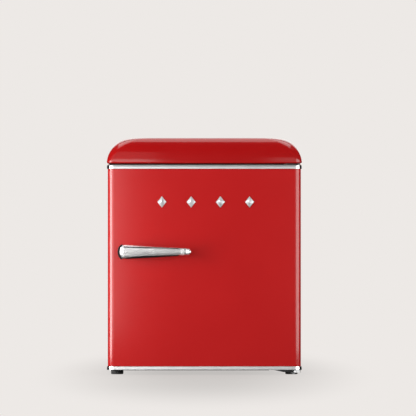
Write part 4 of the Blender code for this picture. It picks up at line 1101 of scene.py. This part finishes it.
def build_condenser():
    """Serpentine tube with fine upright wires on both of its sides, between two channel rails."""
    low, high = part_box("condenser_coil")
    y = high[1] - COIL_TUBE
    bend = PITCH / 2
    half = high[0] - COIL_TUBE - 0.0001
    points = []
    for i in range(PASSES):
        z = FIRST_PASS + i * PITCH
        side = 1 if i % 2 == 0 else -1
        points += [Vector((-side * (half - bend), y, z)), Vector((side * (half - bend), y, z))]
        if i < PASSES - 1:
            turn = arc(half - bend, z + bend, bend, -90, 90, 16)[1:-1]
            points += [Vector((side * x, y, rise)) for x, rise in turn]
    pipe("condenser_tube", points, COIL_TUBE, "black_steel", ["condenser_coil"])
    wires = bmesh.new()
    top = FIRST_PASS + (PASSES - 1) * PITCH
    for i in range(WIRES):
        x = -0.150 + 0.300 * i / (WIRES - 1)
        for side in (-1, 1):
            centre = (x, y + side * (COIL_TUBE + WIRE * 0.7))
            loft([at_z(circle(WIRE, 8, centre), z) for z in (FIRST_PASS - 0.010, top + 0.010)], wires)
    piece("condenser_wires", wires, "cabinet", "black_steel", weighted=False)
    for end in ("left", "right"):
        low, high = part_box(f"condenser_bracket_{end}")
        left, right, front, rear = low[0], high[0], low[1], high[1] - 0.0012
        channel = [(left, front), (left + RAIL_WALL, front), (left + RAIL_WALL, rear - RAIL_WALL),
                   (right - RAIL_WALL, rear - RAIL_WALL), (right - RAIL_WALL, front), (right, front),
                   (right, rear - 0.001), (right - 0.001, rear), (left + 0.001, rear), (left, rear - 0.001)]
        mesh = loft([at_z(channel, low[2]), at_z(channel, high[2])])
        for z in (low[2] + 0.016, high[2] - 0.016):
            screw_head(mesh, ((left + right) / 2, rear, z), (0, 1, 0), 0.0040, 0.0011)
        piece(f"condenser_rail_{end}", mesh, "cabinet", "black_steel", [f"condenser_bracket_{end}"])


def rounded_route(corners, bend, steps=10):
    points = [Vector(corners[0])]
    for before, corner, after in zip(corners, corners[1:], corners[2:]):
        corner = Vector(corner)
        into = (Vector(before) - corner).normalized() * bend
        out = (Vector(after) - corner).normalized() * bend
        for i in range(steps + 1):
            t = i / steps
            points.append(corner + into * (1 - t) ** 2 + out * t ** 2)
    points.append(Vector(corners[-1]))
    return points


def build_pipes():
    """Copper lines between the compressor, the condenser and the foam, and the drier's capsule."""
    cy = middle(*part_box("compressor"))[1]
    coil_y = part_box("condenser_coil")[1][1] - COIL_TUBE
    ceiling = 0.1654             # underside of the foam over the bay
    discharge = [(0.110, cy + 0.020, 0.1330), (0.110, cy + 0.020, 0.152), (0.170, 0.190, 0.152),
                 (0.170, 0.2335, 0.160), (0.170, coil_y, 0.178), (-0.155, coil_y, 0.178)]
    suction = [(0.070, cy - 0.020, 0.1330), (0.070, cy - 0.020, 0.153), (-0.010, 0.110, 0.153),
               (-0.010, 0.110, ceiling)]
    capillary = [(-0.150, 0.195, 0.0617), (-0.150, 0.195, 0.045), (-0.120, 0.150, 0.045),
                 (-0.120, 0.130, 0.100), (-0.120, 0.130, ceiling)]
    for name, node, route, bend, radius in (("discharge_line", "discharge_pipe", discharge, 0.007, 0.0023),
                                            ("suction_line", "suction_pipe", suction, 0.006, 0.0029),
                                            ("capillary_line", "capillary_tube", capillary, 0.008, 0.0011)):
        pipe(name, rounded_route(route, bend), radius, "copper", [node])
    low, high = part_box("filter_drier")
    half = [(0.0018, 0.0), (0.0022, 0.003), (0.0030, 0.0055), (0.0058, 0.0095), (0.0073, 0.014),
            (0.0073, 0.020), (0.0068, 0.0205), (0.0068, 0.022), (0.0073, 0.0225)]
    profile = [(r, low[2] + z) for r, z in half] + [(r, high[2] - z) for r, z in reversed(half)]
    piece("drier_capsule", turned(profile, 40, middle(low, high)), "cabinet", "copper", ["filter_drier"])


# ---------------- stage, light and camera
BACKDROP = (0.847, 0.815, 0.791)
FADE_SCALE = (2.8, 0.41, 1.0)    # the pale fade and its painted shadow are long towards the camera and short across
FADE_REACH = (0.15, 1.15)
GLOW_NEAR = 0.75                 # the backdrop's share of the floor, next to the fridge
PAINTED_SHADOW_DIM = 0.842                 # the backdrop's glow, dimmed next to the fridge: a painted soft shadow
UNSEEN_SKY = 0.05                # the backdrop's share of the light, away from the camera
UNSEEN_FLOOR = 0.08
CAMERA_DISTANCE = 14.0
VIEW_WIDTH = 0.9647              # what the picture's width covers at the door's front
CAMERA_X, CAMERA_Z = 0.0085, 0.387


def camera_ray(tree):
    return add_node(tree, "LightPath").outputs["Is Camera Ray"]


def floor_material():
    """Pale matt floor that turns into the plain backdrop away from the fridge; its glow dims next to the
    fridge in a painted soft shadow.
    """
    mat = bpy.data.materials.new("studio_floor")
    mat.use_nodes = True
    tree = mat.node_tree
    shader = tree.nodes["Principled BSDF"]
    shader.inputs["Base Color"].default_value = (0.26, 0.25, 0.242, 1.0)
    shader.inputs["Roughness"].default_value = 0.8
    shader.inputs["Specular IOR Level"].default_value = 0.0
    glow = add_node(tree, "Emission", Color=(*BACKDROP, 1.0))
    coords = add_node(tree, "TexCoord")
    spread = add_node(tree, "Mapping", Scale=FADE_SCALE)
    tree.links.new(coords.outputs["Object"], spread.inputs["Vector"])
    length = add_node(tree, "VectorMath")
    length.operation = "LENGTH"
    tree.links.new(spread.outputs["Vector"], length.inputs[0])
    # painted soft shadow: the glow dims next to the fridge
    dim = ranged(tree, length.outputs["Value"], FADE_REACH, (PAINTED_SHADOW_DIM, 1.0), "SMOOTHSTEP")
    seen = ranged(tree, camera_ray(tree), (0, 1), (UNSEEN_FLOOR, 1.0))
    strength = add_node(tree, "Math")
    strength.operation = "MULTIPLY"
    tree.links.new(dim, strength.inputs[0])
    tree.links.new(seen, strength.inputs[1])
    tree.links.new(strength.outputs["Value"], glow.inputs["Strength"])
    fade = ranged(tree, length.outputs["Value"], FADE_REACH, (GLOW_NEAR, 1.0), "SMOOTHSTEP")
    mix = add_node(tree, "MixShader")
    tree.links.new(fade, mix.inputs["Fac"])
    tree.links.new(shader.outputs["BSDF"], mix.inputs[1])
    tree.links.new(glow.outputs["Emission"], mix.inputs[2])
    tree.links.new(mix.outputs["Shader"], tree.nodes["Material Output"].inputs["Surface"])
    return mat


def build_floor():
    """A flat disc in rings, wide enough to reach the horizon."""
    mesh = bmesh.new()
    loops = [[mesh.verts.new((x, y, 0.0)) for x, y in circle(r, 64)] for r in (0.4, 1.0, 2.5, 8.0, 60.0)]
    for inner, outer in zip(loops, loops[1:]):
        link_loops(mesh, inner, outer)
    mesh.faces.new(loops[0])
    floor = linked("studio_floor", mesh)
    floor.data.materials.append(floor_material())


def build_world():
    """Pale to look at, dim as a light source, so that chrome and enamel keep their contrast."""
    world = bpy.data.worlds.new("studio")
    bpy.context.scene.world = world
    world.use_nodes = True
    tree = world.node_tree
    background = tree.nodes["Background"]
    background.inputs["Color"].default_value = (*BACKDROP, 1.0)
    tree.links.new(ranged(tree, camera_ray(tree), (0, 1), (UNSEEN_SKY, 1.0)), background.inputs["Strength"])


def softbox(name, ends, low, high, radiance):
    """An upright panel between two plan points, shining towards the fridge."""
    (x0, y0), (x1, y1) = ends
    centre = Vector(((x0 + x1) / 2, (y0 + y1) / 2, (low + high) / 2))
    run = Vector((x1 - x0, y1 - y0, 0.0))
    facing = Vector((-run.y, run.x, 0.0))
    if facing.dot(centre) > 0:
        facing = -facing
    panel(name, centre, facing, run.length, high - low, radiance)


def panel(name, centre, facing, width, height, radiance):
    light = bpy.data.lights.new(name, "AREA")
    light.shape = "RECTANGLE"
    light.size = width
    light.size_y = height
    light.energy = radiance * pi * width * height
    light.color = (1.0, 0.985, 0.97)
    obj = bpy.data.objects.new(name, light)
    obj.location = centre
    obj.rotation_euler = facing.to_track_quat("-Z", "Y").to_euler()
    obj.visible_camera = False
    bpy.context.scene.collection.objects.link(obj)


def build_lights():
    """Name, plan ends, lowest and highest edge and radiance of each upright light, and one overhead."""
    left_wall = (-0.268, -3.60), (-1.90, -1.70)
    softbox("left_strip", ((-1.057, -0.348), (-0.713, -0.830)), 0.02, 0.62, 11.0)
    softbox("left_wall", left_wall, 0.02, 0.95, 3.2)
    softbox("left_wall_upper", left_wall, 0.96, 1.90, 0.5)
    softbox("right_softbox", ((0.727, -1.288), (1.415, -0.305)), 0.02, 0.80, 4.4)
    softbox("right_wall", ((0.36, -3.60), (1.25, -2.60)), 0.02, 1.15, 0.9)
    panel("overhead_softbox", Vector((0.0, 0.10, 1.75)), Vector((0.0, 0.0, -1.0)), 1.8, 1.80, 2.6)
    softbox("rear_fill", ((-1.6, 2.8), (1.9, 2.8)), 0.6, 2.4, 1.2)
    softbox("rear_low", ((-0.28, 1.6), (0.28, 1.6)), 0.02, 0.50, 9.0)


def build_camera():
    """A long lens, level with the middle of the view, a little to the right of the fridge's centre."""
    data = bpy.data.cameras.new("camera")
    data.sensor_width = 36.0
    data.lens = data.sensor_width * CAMERA_DISTANCE / VIEW_WIDTH
    data.clip_end = 200.0
    camera = bpy.data.objects.new("camera", data)
    camera.location = (CAMERA_X, DOOR_LOW[1] - CAMERA_DISTANCE, CAMERA_Z)
    camera.rotation_euler = (pi / 2, 0.0, 0.0)
    bpy.context.scene.collection.objects.link(camera)
    bpy.context.scene.camera = camera


build_camera()
repaint_cad_nodes()
build_cover()
build_cover_tray()
build_door_skin()
build_trim()
build_painted_shadow_lip()
build_door_inside()
build_seal()
build_bins()
build_handle()
build_handle_posts()
build_ornaments()
build_side_panels()
build_back_panel()
build_lower_hinge()
build_upper_hinge()
build_feet()
build_liner()
build_ice_box()
build_ice_flap()
build_drip_tray()
build_shelf()
build_thermostat()
build_compressor()
build_condenser()
build_pipes()
build_floor()
build_world()
build_lights()
bpy.context.scene.view_settings.view_transform = "Standard"
